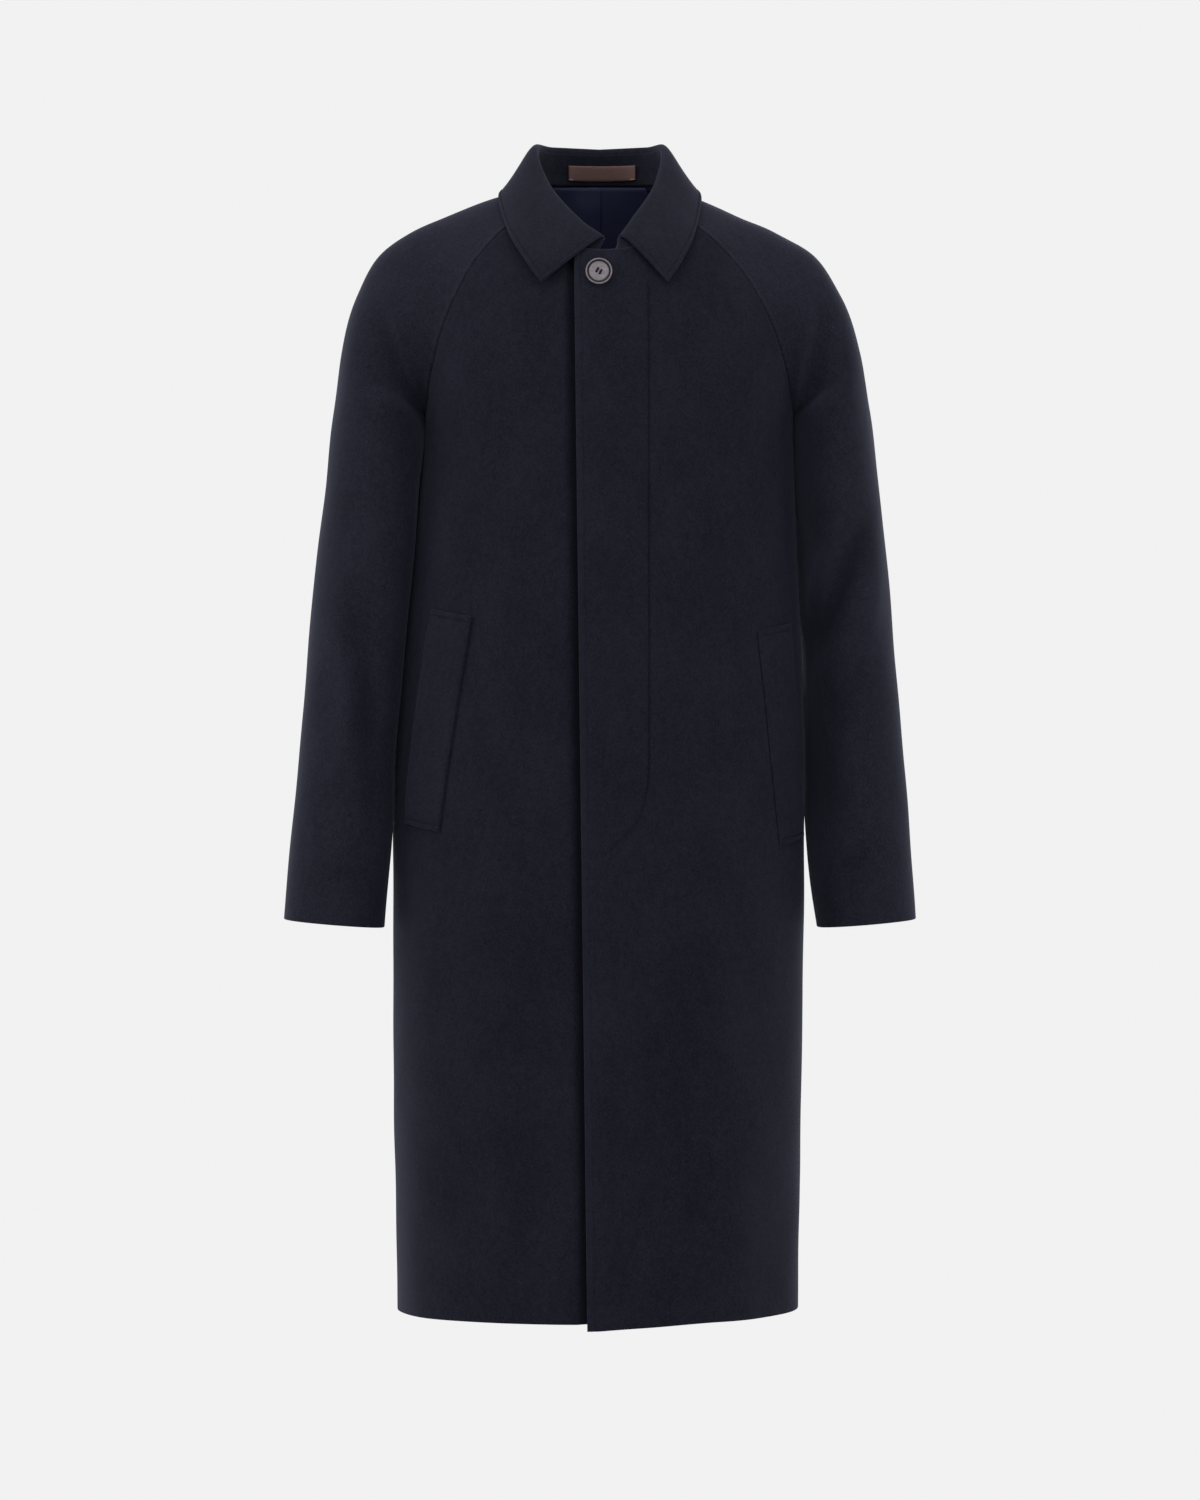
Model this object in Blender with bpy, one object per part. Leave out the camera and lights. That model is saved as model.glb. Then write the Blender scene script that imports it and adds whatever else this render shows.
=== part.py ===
"""Raglan coat, filled out as it is worn and with no wearer inside.

A knee-length wool coat: two fronts that lap left over right, a back, two raglan sleeves of two halves
each, a collar with a stand and a fall, slanted pocket welts, the one button that shows, the back lining
and a bare label at the neck.

Units are metres and +Z is up. The coat faces -Y and the wearer's left is +X. The origin lies on the
centre line of the neck, at the height of the back neck seam.
"""

import math
from collections import namedtuple

import bmesh
import bpy
import numpy as np
from mathutils import Matrix, Vector

# Cloth and seams
SHELL = 0.0022
COLLAR_CLOTH = 0.0026
WELT_CLOTH = 0.0026
LINING_CLOTH = 0.0010
LABEL_CLOTH = 0.0010
SEAM_GAP = 0.0003
SLEEVE_CLEAR = 0.0014
CLEAR_EASE = 0.0010
CLEAR_STARTS = 0.015
LYING_GAP = 0.0005

# Fronts
BOXINESS = 0.90
OVERLAP_LIFT = 0.0033
EDGE_TOP_X = -0.0240
EDGE_HEM_X = -0.0112
UNDERLAP_X = 0.0350
HEM_Z = -1.0842
SIDE_HEM_Z = {-1: -1.0874, 1: -1.0818}
LEFT_FRONT_DROP = 0.0060
DROP_SPAN = 0.36
DROP_STARTS = 0.45
BACK_HEM_Z = -1.0840

# Grid sizes
CAP_ROWS = 11
TUBE_ROWS = 15
SKIRT_ROWS = 16
FRONT_COLUMNS = 13
BACK_COLUMNS = 21
SLEEVE_COLUMNS = 9
COLLAR_STATIONS = 37
DENSE = 161
RIM_ORDER = (0.37, 0.11, 1.0)

# The trunk, a row for each height
BodyRow = namedtuple("BodyRow", "z lean half_width front back")
BODY = [
    BodyRow(0.000, 0.0000, 0.150, 0.048, 0.0780),
    BodyRow(-0.040, 0.0010, 0.160, 0.067, 0.0915),
    BodyRow(-0.079, 0.0040, 0.170, 0.0885, 0.1020),
    BodyRow(-0.120, 0.0065, 0.1745, 0.1035, 0.1095),
    BodyRow(-0.165, 0.0082, 0.1750, 0.1145, 0.1145),
    BodyRow(-0.240, 0.0092, 0.1765, 0.1260, 0.1170),
    BodyRow(-0.320, 0.0060, 0.1820, 0.1325, 0.1145),
    BodyRow(-0.430, 0.0030, 0.1895, 0.1345, 0.1080),
    BodyRow(-0.500, 0.0015, 0.1942, 0.1345, 0.1075),
    BodyRow(-0.560, 0.0000, 0.1968, 0.1350, 0.1105),
    BodyRow(-0.660, -0.0003, 0.1970, 0.1365, 0.1190),
    BodyRow(-0.850, -0.0010, 0.1958, 0.1405, 0.1270),
    BodyRow(-1.095, -0.0002, 0.1918, 0.1455, 0.1350),
]

# The raglan seams from neck to underarm, and the sleeve section that starts at each row
SeamRow = namedtuple("SeamRow", "x y z middle_z swing lift seam_reach crown_reach")
FRONT_SEAM = [
    SeamRow(0.0700, -0.0450, -0.042, -0.079, 82, 26, 0.0200, 0.0200),
    SeamRow(0.0935, -0.0565, -0.056, -0.102, 68, 30, 0.0230, 0.0230),
    SeamRow(0.1240, -0.0680, -0.089, -0.134, 56, 40, 0.0280, 0.0280),
    SeamRow(0.1435, -0.0745, -0.122, -0.166, 42, 44, 0.0340, 0.0360),
    SeamRow(0.1570, -0.0730, -0.153, -0.195, 22, 40, 0.0400, 0.0470),
    SeamRow(0.1680, -0.0610, -0.190, -0.228, -14, 30, 0.0480, 0.0640),
    SeamRow(0.1740, -0.0360, -0.222, -0.258, -54, 14, 0.0720, 0.0860),
    SeamRow(0.1765, 0.0000, -0.240, -0.285, -90, 0, 0.1067, 0.1067),
]
BACK_SEAM = [
    SeamRow(0.0550, 0.0500, -0.002, 0.000, 52, -4, 0.0145, 0.0145),
    SeamRow(0.0850, 0.0660, -0.034, -0.042, 58, 14, 0.0210, 0.0210),
    SeamRow(0.1130, 0.0780, -0.068, -0.085, 56, 32, 0.0280, 0.0280),
    SeamRow(0.1340, 0.0830, -0.103, -0.125, 44, 38, 0.0340, 0.0360),
    SeamRow(0.1510, 0.0790, -0.142, -0.165, 24, 37, 0.0400, 0.0470),
    SeamRow(0.1645, 0.0630, -0.182, -0.205, -14, 28, 0.0480, 0.0640),
    SeamRow(0.1725, 0.0360, -0.218, -0.240, -54, 13, 0.0740, 0.0880),
    SeamRow(0.1765, 0.0000, -0.240, -0.268, -90, 0, 0.1107, 0.1107),
]

# The line over the shoulder and down the arm, in step with the seams
CrownRow = namedtuple("CrownRow", "right_x left_x y z")
CROWN = [
    CrownRow(-0.0760, 0.0760, 0.012, -0.0115),
    CrownRow(-0.1118, 0.1013, 0.006, -0.0239),
    CrownRow(-0.1493, 0.1339, 0.002, -0.0393),
    CrownRow(-0.1810, 0.1685, 0.000, -0.0546),
    CrownRow(-0.2117, 0.2069, 0.000, -0.0777),
    CrownRow(-0.2328, 0.2318, 0.000, -0.1161),
    CrownRow(-0.2472, 0.2501, 0.000, -0.1708),
    CrownRow(-0.2539, 0.2578, 0.000, -0.2188),
]

# The sleeve below the underarm, a row for each ring
RingRow = namedtuple(
    "RingRow",
    "inner_z outer_z right_inner right_inner_y right_outer left_inner left_inner_y left_outer"
    " right_y left_y front back",
)
SLEEVE = [
    RingRow(-0.258, -0.240, -0.1676, -0.020, -0.2565, 0.1850, 0.015, 0.2613, -0.002, 0.000, 0.0800, 0.0830),
    RingRow(-0.300, -0.285, -0.1713, -0.036, -0.2608, 0.1860, 0.030, 0.2667, -0.004, -0.002, 0.0785, 0.0800),
    RingRow(-0.360, -0.346, -0.1754, -0.046, -0.2682, 0.1885, 0.040, 0.2727, -0.007, -0.004, 0.0750, 0.0750),
    RingRow(-0.450, -0.437, -0.1846, -0.050, -0.2770, 0.1938, 0.042, 0.2806, -0.013, -0.009, 0.0690, 0.0680),
    RingRow(-0.560, -0.549, -0.1938, -0.052, -0.2858, 0.1970, 0.036, 0.2900, -0.022, -0.017, 0.0615, 0.0600),
    RingRow(-0.650, -0.641, -0.1985, -0.046, -0.2944, 0.1992, 0.010, 0.2968, -0.029, -0.024, 0.0560, 0.0540),
    RingRow(-0.719, -0.711, -0.2047, -0.036, -0.3002, 0.2080, -0.020, 0.3012, -0.033, -0.028, 0.0530, 0.0520),
]

# The collar from centre back to its end: where it is seated on the neck seam, its roll and its edge
CollarRow = namedtuple(
    "CollarRow", "seat roll_x roll_y roll_z roll_shift edge_x edge_y edge_z edge_shift turn bulge"
)
COLLAR = [
    CollarRow(0.000, 0.0000, 0.0720, 0.0356, 0.0000, 0.0000, 0.1000, -0.0200, 0.0000, 0.0065, 0.0010),
    CollarRow(0.200, 0.0450, 0.0600, 0.0362, 0.0000, 0.0640, 0.0820, -0.0200, 0.0000, 0.0065, 0.0000),
    CollarRow(0.400, 0.0628, 0.0180, 0.0315, 0.0000, 0.0964, 0.0050, -0.0142, 0.0000, 0.0060, -0.0040),
    CollarRow(0.600, 0.0525, -0.0320, -0.0090, 0.0025, 0.0900, -0.0650, -0.0560, 0.0020, 0.0050, 0.0000),
    CollarRow(0.800, 0.0270, -0.0690, -0.0460, 0.0060, 0.0740, -0.0960, -0.0890, 0.0040, 0.0040, 0.0020),
    CollarRow(1.000, 0.0085, -0.0870, -0.0655, 0.0118, 0.0595, -0.1065, -0.1110, 0.0047, 0.0030, 0.0020),
]
COLLAR_SEAT_END = {-1: 0.995, 1: 0.938}
ROLL_HALF = 0.0040
FALL_HANDLE = 0.0065
RISE_SHARE = 0.6
TURN_SHARE = 0.7
EDGE_SHARE = 0.35
FALL_STEPS = (0.0, 0.06, 0.10, 0.14, 0.20, 0.36, 0.56, 0.78, 1.0)
STAND_STEPS = (0.0, 0.33, 0.67, 1.0)

# Label and lining inside the neck
LABEL_MIDDLE_X = 0.0025
LABEL_SIZE = (0.066, 0.0145)
LABEL_FOOT_Z = 0.0045
PLEAT_TOP_X = 0.0010
PLEAT_DEEP = 0.0120
PLEAT_STEP = 0.0015
LINING_EDGE = 0.84
LINING_GAP = 0.0016
LINING_SIDE_COLUMNS = 7

# Pocket welts: distance along the cloth from centre front, and height
WeltRow = namedtuple("WeltRow", "side top_along top_z foot_along foot_z width rise")
WELTS = {
    "pocket_welt_right": WeltRow(-1, 0.1270, -0.4250, 0.1580, -0.6270, 0.0500, 0.0080),
    "pocket_welt_left": WeltRow(1, 0.1550, -0.4380, 0.1860, -0.6400, 0.0500, 0.0080),
}
WELT_ROWS = 9
WELT_COLUMNS = 7

# The button that shows
BUTTON_X = -0.0005
BUTTON_Z = -0.1015
BUTTON_RADIUS = 0.0125
BUTTON_SIDES = 28
BUTTON_TILT = math.radians(9)
HOLE_RADIUS = 0.0010
HOLE_PITCH = 0.0036
HOLE_TURN = math.radians(60)
ButtonRow = namedtuple("ButtonRow", "radius height")
BUTTON_PROFILE = [
    ButtonRow(0.0000, 0.0000),
    ButtonRow(0.0100, 0.0000),
    ButtonRow(0.0119, 0.0006),
    ButtonRow(0.0125, 0.0020),
    ButtonRow(0.0123, 0.0033),
    ButtonRow(0.0118, 0.0037),
    ButtonRow(0.0112, 0.0033),
    ButtonRow(0.0107, 0.0018),
    ButtonRow(0.0102, 0.0012),
    ButtonRow(0.0097, 0.0016),
    ButtonRow(0.0094, 0.0026),
    ButtonRow(0.0088, 0.0032),
    ButtonRow(0.0050, 0.0030),
    ButtonRow(0.0000, 0.0028),
]

# The largest folds, as lines in the front view: a positive depth is a trough
FoldRow = namedtuple("FoldRow", "face x0 z0 x1 z1 half_width depth")
FOLDS = [
    FoldRow(-1, -0.196, -0.150, -0.172, -0.222, 0.012, 0.0050),
    FoldRow(-1, -0.182, -0.158, -0.162, -0.216, 0.009, -0.0030),
    FoldRow(-1, -0.232, -0.420, -0.220, -0.600, 0.018, 0.0040),
    FoldRow(-1, 0.212, -0.155, 0.199, -0.238, 0.012, 0.0055),
    FoldRow(-1, 0.248, -0.342, 0.203, -0.462, 0.017, 0.0060),
    FoldRow(1, -0.205, -0.150, -0.178, -0.225, 0.013, 0.0050),
    FoldRow(1, 0.205, -0.150, 0.182, -0.225, 0.013, 0.0050),
    FoldRow(1, -0.245, -0.350, -0.208, -0.440, 0.018, 0.0045),
    FoldRow(1, 0.248, -0.350, 0.208, -0.440, 0.018, 0.0045),
]

# Colours in linear light
WOOL = (0.013, 0.013, 0.021, 1.0)
COLLAR_WOOL = (0.015, 0.015, 0.024, 1.0)
SATIN = (0.010, 0.011, 0.028, 1.0)
LABEL_BROWN = (0.080, 0.045, 0.040, 1.0)
HORN = (0.210, 0.190, 0.215, 1.0)


def smooth(knots, values, places):
    """Values at new places on the curve that runs smoothly through a row of knots."""
    knots = np.asarray(knots, float)
    values = np.asarray(values, float).reshape(len(knots), -1)
    step = np.diff(knots)[:, None]
    slope = np.diff(values, axis=0) / step
    tangent = np.vstack([slope[:1], slope[:1], slope[1:]])[: len(knots)]
    tangent[1:-1] = (slope[:-1] * step[1:] + slope[1:] * step[:-1]) / (step[:-1] + step[1:])
    tangent[-1] = slope[-1]
    places = np.clip(np.atleast_1d(np.asarray(places, float)), knots[0], knots[-1])
    index = np.clip(np.searchsorted(knots, places, side="right") - 1, 0, len(knots) - 2)
    width = step[index]
    t = (places - knots[index])[:, None] / width
    rise = t * t * (3 - 2 * t)
    start = t * (1 - t) ** 2 * width * tangent[index]
    end = t * t * (t - 1) * width * tangent[index + 1]
    return values[index] * (1 - rise) + values[index + 1] * rise + start + end


def body_at(z, column):
    """One column of the trunk's table at a height or at many heights."""
    table = np.array(BODY)
    found = smooth(-table[:, 0], table[:, BodyRow._fields.index(column)], -np.atleast_1d(z))[:, 0]
    return found if np.ndim(z) else float(found[0])


def even(points, count):
    """The same line with its points evenly spaced along it."""
    length = np.concatenate([[0], np.cumsum(np.linalg.norm(np.diff(points, axis=0), axis=1))])
    return at_lengths(points, length, np.linspace(0, length[-1], count))


def at_lengths(points, length, wanted):
    """Points of a line at the wanted lengths along it."""
    return np.stack([np.interp(wanted, length, points[:, axis]) for axis in range(3)], axis=1)


def heading(side, facing, swing, lift):
    """The direction in which a sleeve's section leaves its seam: swing turns it round, lift raises it."""
    swing, lift = math.radians(swing), math.radians(lift)
    level = math.cos(lift)
    return np.array([side * math.cos(swing) * level, facing * math.sin(swing) * level, math.sin(lift)])


def cap_station(side, front, back, crown):
    """Seven points that steer the sleeve's section above the underarm, from front seam to back seam."""
    top = np.array([crown.left_x if side > 0 else crown.right_x, crown.y, crown.z])
    ahead = np.array([body_at(front.z, "lean") + side * front.x, front.y, front.z])
    behind = np.array([body_at(back.z, "lean") + side * back.x, back.y, back.z])
    along = np.array([0.0, 1.0, 0.0])
    return [
        ahead,
        ahead + heading(side, 1, front.swing, front.lift) * front.seam_reach,
        top - along * front.crown_reach,
        top,
        top + along * back.crown_reach,
        behind + heading(side, -1, back.swing, back.lift) * back.seam_reach,
        behind,
    ]


def ring_station(side, ring):
    """The same seven points below the underarm, where both seams run down the inner arm."""
    word = "left" if side > 0 else "right"
    inner_y, y = getattr(ring, word + "_inner_y"), getattr(ring, word + "_y")
    inner = np.array([getattr(ring, word + "_inner"), inner_y, ring.inner_z])
    outer = np.array([getattr(ring, word + "_outer"), y, ring.outer_z])
    along = np.array([0.0, 4.0 / 3.0, 0.0])
    return [
        inner,
        inner - along * (ring.front + inner_y - y),
        outer - along * ring.front,
        outer,
        outer + along * ring.back,
        inner + along * (ring.back + y - inner_y),
        inner,
    ]


def sleeve_stations(side):
    """Steering points of a whole sleeve at its rows: those of the cap first, then those of the tube."""
    stations = [cap_station(side, *rows) for rows in zip(FRONT_SEAM, BACK_SEAM, CROWN)]
    stations += [ring_station(side, ring) for ring in SLEEVE]
    stations = np.array(stations)
    crown = stations[:, 3]
    knots = np.concatenate([[0], np.cumsum(np.linalg.norm(np.diff(crown, axis=0), axis=1))])
    last_cap = len(CROWN) - 1
    order = np.arange(len(knots))
    places = np.concatenate(
        [np.linspace(0, last_cap, CAP_ROWS), np.linspace(last_cap, len(knots) - 1, TUBE_ROWS + 1)[1:]]
    )
    found = smooth(knots, stations.reshape(len(knots), -1), np.interp(places, order, knots))
    found = found.reshape(len(places), 7, 3)
    found[CAP_ROWS:, [0, 6]] = found[CAP_ROWS:, [0, 6]].mean(axis=1, keepdims=True)
    return found


def bezier(a, b, c, d, t):
    """Points of a cubic curve with ends a and d and handles b and c."""
    t = t[:, None]
    return a * (1 - t) ** 3 + 3 * b * t * (1 - t) ** 2 + 3 * c * t * t * (1 - t) + d * t**3


def sleeve_grids(side):
    """Front half from seam to crown, and back half from crown to seam, a row for each station."""
    t = np.linspace(0, 1, DENSE)
    front, back = [], []
    for points in sleeve_stations(side):
        front.append(even(bezier(*points[:4], t), SLEEVE_COLUMNS))
        back.append(even(bezier(*points[3:], t), SLEEVE_COLUMNS))
    return clear_of_trunk(side, np.array(front)), clear_of_trunk(side, np.array(back))


def clear_of_trunk(side, grid):
    """A sleeve half with its inner side pressed to just clear of the trunk, below the underarm."""
    tube = grid[CAP_ROWS:]
    y, z = tube[..., 1].ravel(), tube[..., 2].ravel()
    depth = np.where(y < 0, body_at(z, "front"), body_at(z, "back"))
    share = np.clip(np.abs(y) / depth, 0, 1) ** (2 / BOXINESS)
    below = np.clip((FRONT_SEAM[-1].z - z) / CLEAR_STARTS, 0, 1)
    least = body_at(z, "half_width") * (1 - share) ** (BOXINESS / 2) + SLEEVE_CLEAR * below
    over = side * (tube[..., 0].ravel() - body_at(z, "lean")) - least
    eased = least + (over + np.sqrt(over**2 + (CLEAR_EASE * below) ** 2)) / 2
    pressed = grid.copy()
    pressed[CAP_ROWS:, :, 0] = (body_at(z, "lean") + side * eased).reshape(tube.shape[:2])
    return pressed


def power(value, exponent):
    """A power that keeps the sign of its base."""
    return np.sign(value) * np.abs(value) ** exponent


def trunk_arc(side, end, middle_z, depth, start_x, drop=0.0):
    """Half a trunk section from a place on the front or back out to its seam.

    It is part of a rounded-off ellipse that crosses the centre line at the given depth and passes
    through the seam point. A start on the far side of the centre carries it on as an overlap. A drop
    lowers the part near the centre.
    """
    centre, seam_centre = body_at(middle_z, "lean"), body_at(end[2], "lean")
    reach = side * (end[0] - seam_centre)
    share = min(max(end[1] / depth, 0.0), 1.0)
    last = math.acos(share ** (1 / BOXINESS))
    half_width = reach / math.sin(last) ** BOXINESS
    first = math.asin(power(side * (start_x - centre) / half_width, 1 / BOXINESS))
    angle = np.linspace(first, last, DENSE)
    progress = angle / last
    near = np.clip(1 - progress / DROP_SPAN, 0, 1)
    middle = centre + (seam_centre - centre) * np.clip(progress, 0, 1)
    arc = np.stack(
        [
            middle + side * half_width * power(np.sin(angle), BOXINESS),
            depth * power(np.cos(angle), BOXINESS),
            middle_z + (end[2] - middle_z) * progress**2 - drop * near**1.5,
        ],
        axis=1,
    )
    arc[-1] = end
    return arc


def side_seam(side):
    """Points of the side seam below the underarm."""
    z = np.linspace(FRONT_SEAM[-1].z, SIDE_HEM_Z[side], SKIRT_ROWS + 1)[1:]
    x = body_at(z, "lean") + side * body_at(z, "half_width")
    return np.stack([x, np.zeros_like(z), z], axis=1)


def middle_heights(seams, hem_z):
    """Heights of the rows at centre front or centre back, cap rows first."""
    table = np.array([row.middle_z for row in seams])
    cap = smooth(np.arange(len(seams)), table, np.linspace(0, len(seams) - 1, CAP_ROWS))[:, 0]
    return np.concatenate([cap, np.linspace(cap[-1], hem_z, SKIRT_ROWS + 1)[1:]])


def edge_x(z):
    """Where the left front's edge lies at a height."""
    share = (FRONT_SEAM[0].middle_z - z) / (FRONT_SEAM[0].middle_z - HEM_Z)
    return EDGE_TOP_X + (EDGE_HEM_X - EDGE_TOP_X) * share


def front_grid(side, seam):
    """A front from its free edge to the raglan seam and side seam, with its distance to centre front."""
    ends = np.concatenate([seam[:CAP_ROWS], side_seam(side)])
    lift, most_drop = (OVERLAP_LIFT, LEFT_FRONT_DROP) if side > 0 else (0.0, 0.0)
    rows, overlaps = [], []
    for end, z in zip(ends, middle_heights(FRONT_SEAM, HEM_Z)):
        start = edge_x(z) if side > 0 else UNDERLAP_X
        depth = -(body_at(z, "front") + lift)
        drop = most_drop * max(0.0, (-z - DROP_STARTS) / (-HEM_Z - DROP_STARTS)) ** 2
        rows.append(even(trunk_arc(side, end, z, depth, start, drop), FRONT_COLUMNS))
        overlaps.append(abs(start - body_at(z, "lean")))
    return np.array(rows), np.array(overlaps)


def back_grid(right_seam, left_seam):
    """The back from the wearer's right to left, a row for each height."""
    rights = np.concatenate([right_seam[:CAP_ROWS], side_seam(-1)])
    lefts = np.concatenate([left_seam[:CAP_ROWS], side_seam(1)])
    rows = []
    for right, left, z in zip(rights, lefts, middle_heights(BACK_SEAM, BACK_HEM_Z)):
        depth, start = body_at(z, "back"), body_at(z, "lean")
        halves = [trunk_arc(side, end, z, depth, start) for side, end in ((-1, right), (1, left))]
        half = BACK_COLUMNS // 2 + 1
        rows.append(np.concatenate([even(halves[0], half)[::-1], even(halves[1], half)[1:]]))
    return np.array(rows)


def quad_normals(grid, facing):
    """Each quad's normal times its area, turned to the side that faces out."""
    across = grid[1:, 1:] - grid[:-1, :-1]
    down = grid[1:, :-1] - grid[:-1, 1:]
    normal = np.cross(across, down) / 2
    return normal if (normal.sum(axis=(0, 1)) @ np.array(facing, float)) > 0 else -normal


def shared_normals(grids, facings):
    """Normals of all grids, with one normal where points of several panels meet at a seam.

    The second result grows the wall at a crease, so that it keeps its thickness there.
    """
    keys = {name: np.round(grid * 1e5).astype(int).reshape(-1, 3) for name, grid in grids.items()}
    _, index = np.unique(np.concatenate(list(keys.values())), axis=0, return_inverse=True)
    index = index.reshape(-1)
    total, area = np.zeros((index.max() + 1, 3)), np.zeros(index.max() + 1)
    first, places = 0, {}
    for name, grid in grids.items():
        places[name] = index[first : first + grid[..., 0].size].reshape(grid.shape[:2])
        first += grid[..., 0].size
        normal = quad_normals(grid, facings[name])
        size = np.linalg.norm(normal, axis=2)
        for rows in (slice(0, -1), slice(1, None)):
            for columns in (slice(0, -1), slice(1, None)):
                np.add.at(total, places[name][rows, columns], normal)
                np.add.at(area, places[name][rows, columns], size)
    length = np.linalg.norm(total, axis=1)
    unit = total / length[:, None]
    grow = 1 / np.maximum(length / area, 0.65)
    normals = {name: unit[place] for name, place in places.items()}
    return normals, {name: grow[place] for name, place in places.items()}


def folded(grid, normals):
    """A grid with the folds of the table pressed into it along its normals."""
    depth = np.zeros(grid.shape[:2])
    for fold in FOLDS:
        start, line = np.array([fold.x0, fold.z0]), np.array([fold.x1 - fold.x0, fold.z1 - fold.z0])
        away = grid[..., [0, 2]] - start
        along = np.clip(away @ line / (line @ line), 0, 1)
        gap = np.linalg.norm(away - along[..., None] * line, axis=-1) / fold.half_width
        turned = np.clip(fold.face * normals[..., 1] * 1.6, 0, 1)
        depth += fold.depth * np.exp(-gap * gap) * turned
    return grid - normals * depth[..., None]


def border_steps(grid, normals, size):
    """Steps that draw each border of a grid in by a size, square to the border."""
    steps = np.zeros_like(grid)
    for axis in (0, 1):
        along = np.gradient(grid, axis=1 - axis)
        for border, inner in ((0, 1), (-1, -2)):
            edge = [slice(None), slice(None)]
            near = [slice(None), slice(None)]
            edge[axis], near[axis] = border, inner
            edge, near = tuple(edge), tuple(near)
            step = np.cross(normals[edge], along[edge])
            step /= np.linalg.norm(step, axis=-1, keepdims=True)
            inward = np.sum(step * (grid[near] - grid[edge]), axis=-1, keepdims=True)
            steps[edge] += step * np.sign(inward) * size
    return steps


def material(name, colour, roughness):
    """A plain Principled material."""
    made = bpy.data.materials.new(name)
    made.use_nodes = True
    shader = made.node_tree.nodes["Principled BSDF"]
    shader.inputs["Base Color"].default_value = colour
    shader.inputs["Roughness"].default_value = roughness
    made.diffuse_color = colour
    return made


def add_object(name, points, faces, finish):
    """One named object made of points and faces, with its faces turned out."""
    mesh = bpy.data.meshes.new(name)
    mesh.from_pydata([tuple(point) for point in points], [], [tuple(face) for face in faces])
    shape = bmesh.new()
    shape.from_mesh(mesh)
    bmesh.ops.recalc_face_normals(shape, faces=shape.faces)
    shape.to_mesh(mesh)
    shape.free()
    mesh.materials.append(finish)
    made = bpy.data.objects.new(name, mesh)
    bpy.context.scene.collection.objects.link(made)
    return made


def wall(name, skin, under, finish):
    """A closed wall between two grids of the same size."""
    rows, columns = skin.shape[:2]
    index = np.arange(rows * columns).reshape(rows, columns)
    corners = [index[:-1, :-1], index[:-1, 1:], index[1:, 1:], index[1:, :-1]]
    quads = np.stack(corners, axis=-1).reshape(-1, 4)
    rim =np.concatenate([index[0, :-1], index[:-1, -1], index[-1, :0:-1], index[:0:-1, 0]])
    size = rows * columns
    points = np.concatenate([skin.reshape(-1, 3), under.reshape(-1, 3)])
    faces = [tuple(quad) for quad in np.concatenate([quads, quads[:, ::-1] + size])]
    faces += rim_faces(points, rim, np.roll(rim, -1), size)
    return add_object(name, points, faces, finish)


def rim_faces(points, starts, ends, size):
    """Two triangles for each stretch of a wall's rim, split alike on both panels that meet at a seam."""
    rank = points @ np.array(RIM_ORDER)
    faces = []
    for a, b in zip(starts, ends):
        if rank[a] > rank[b]:
            faces += [(a, a + size, b + size), (a, b + size, b)]
        else:
            faces += [(a, a + size, b), (a + size, b + size, b)]
    return faces


def shell_wall(name, grid, normals, grow, finish):
    """A cloth wall from its outer skin inwards, drawn back from its seams."""
    steps = border_steps(grid, normals, SEAM_GAP / 2)
    under = grid - normals * (SHELL * grow)[..., None]
    wall(name, grid + steps, under + steps, finish)
    return under


def neck_line(side, grids):
    """The neck seam from centre back to centre front on one side, as a dense line."""
    word = "left" if side > 0 else "right"
    back = grids["back"][0]
    half = back[BACK_COLUMNS // 2 :] if side > 0 else back[BACK_COLUMNS // 2 :: -1]
    front = grids["front_" + word][0][::-1]
    front = front[side * (front[:, 0] - body_at(front[0, 2], "lean")) >= 0]
    over = grids["sleeve_back_" + word][0][::-1][1:]
    onward = grids["sleeve_front_" + word][0][::-1][1:]
    return even(np.concatenate([half, over, onward, front[1:]]), DENSE)


def collar_lines(side, stations, grids):
    """Seat, turn, roll and edge of the collar on one side, from centre back to its end, and the way out."""
    table = np.array(COLLAR)
    rows = smooth(np.arange(len(COLLAR)), table, stations)
    column = {name: rows[:, place] for place, name in enumerate(CollarRow._fields)}
    neck = neck_line(side, grids)
    lines = {"turn": column["turn"], "bulge": column["bulge"]}
    lines["seat"] = at_lengths(neck, np.linspace(0, 1, len(neck)), column["seat"] * COLLAR_SEAT_END[side])
    for part in ("roll", "edge"):
        x = side * column[part + "_x"] + column[part + "_shift"]
        lines[part] = np.stack([x, column[part + "_y"], column[part + "_z"]], axis=1)
    along = np.gradient(lines["roll"], axis=0)
    along[0] = (side, 0, 0)
    out = np.stack([along[:, 1] * -side, along[:, 0] * side, np.zeros(len(along))], axis=1)
    lines["out"] = out / np.linalg.norm(out, axis=1, keepdims=True)
    return lines


def whole_collar(grids):
    """The collar's lines from its right end round the back to its left end."""
    stations = np.linspace(0, len(COLLAR) - 1, COLLAR_STATIONS // 2 + 1)
    right, left = collar_lines(-1, stations, grids), collar_lines(1, stations, grids)
    return {name: np.concatenate([right[name][::-1], left[name][1:]]) for name in right}


def stand_grid(lines):
    """The stand's skin inside the neck, a column for each station and rows from seat to turn."""
    up = np.array([0.0, 0.0, 1.0])
    foot = lines["seat"] - lines["out"] * COLLAR_CLOTH + up * SEAM_GAP
    top = lines["roll"] - lines["out"] * ROLL_HALF - up * (lines["turn"] + SEAM_GAP)[:, None]
    return np.array([foot + (top - foot) * step for step in STAND_STEPS])


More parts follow.
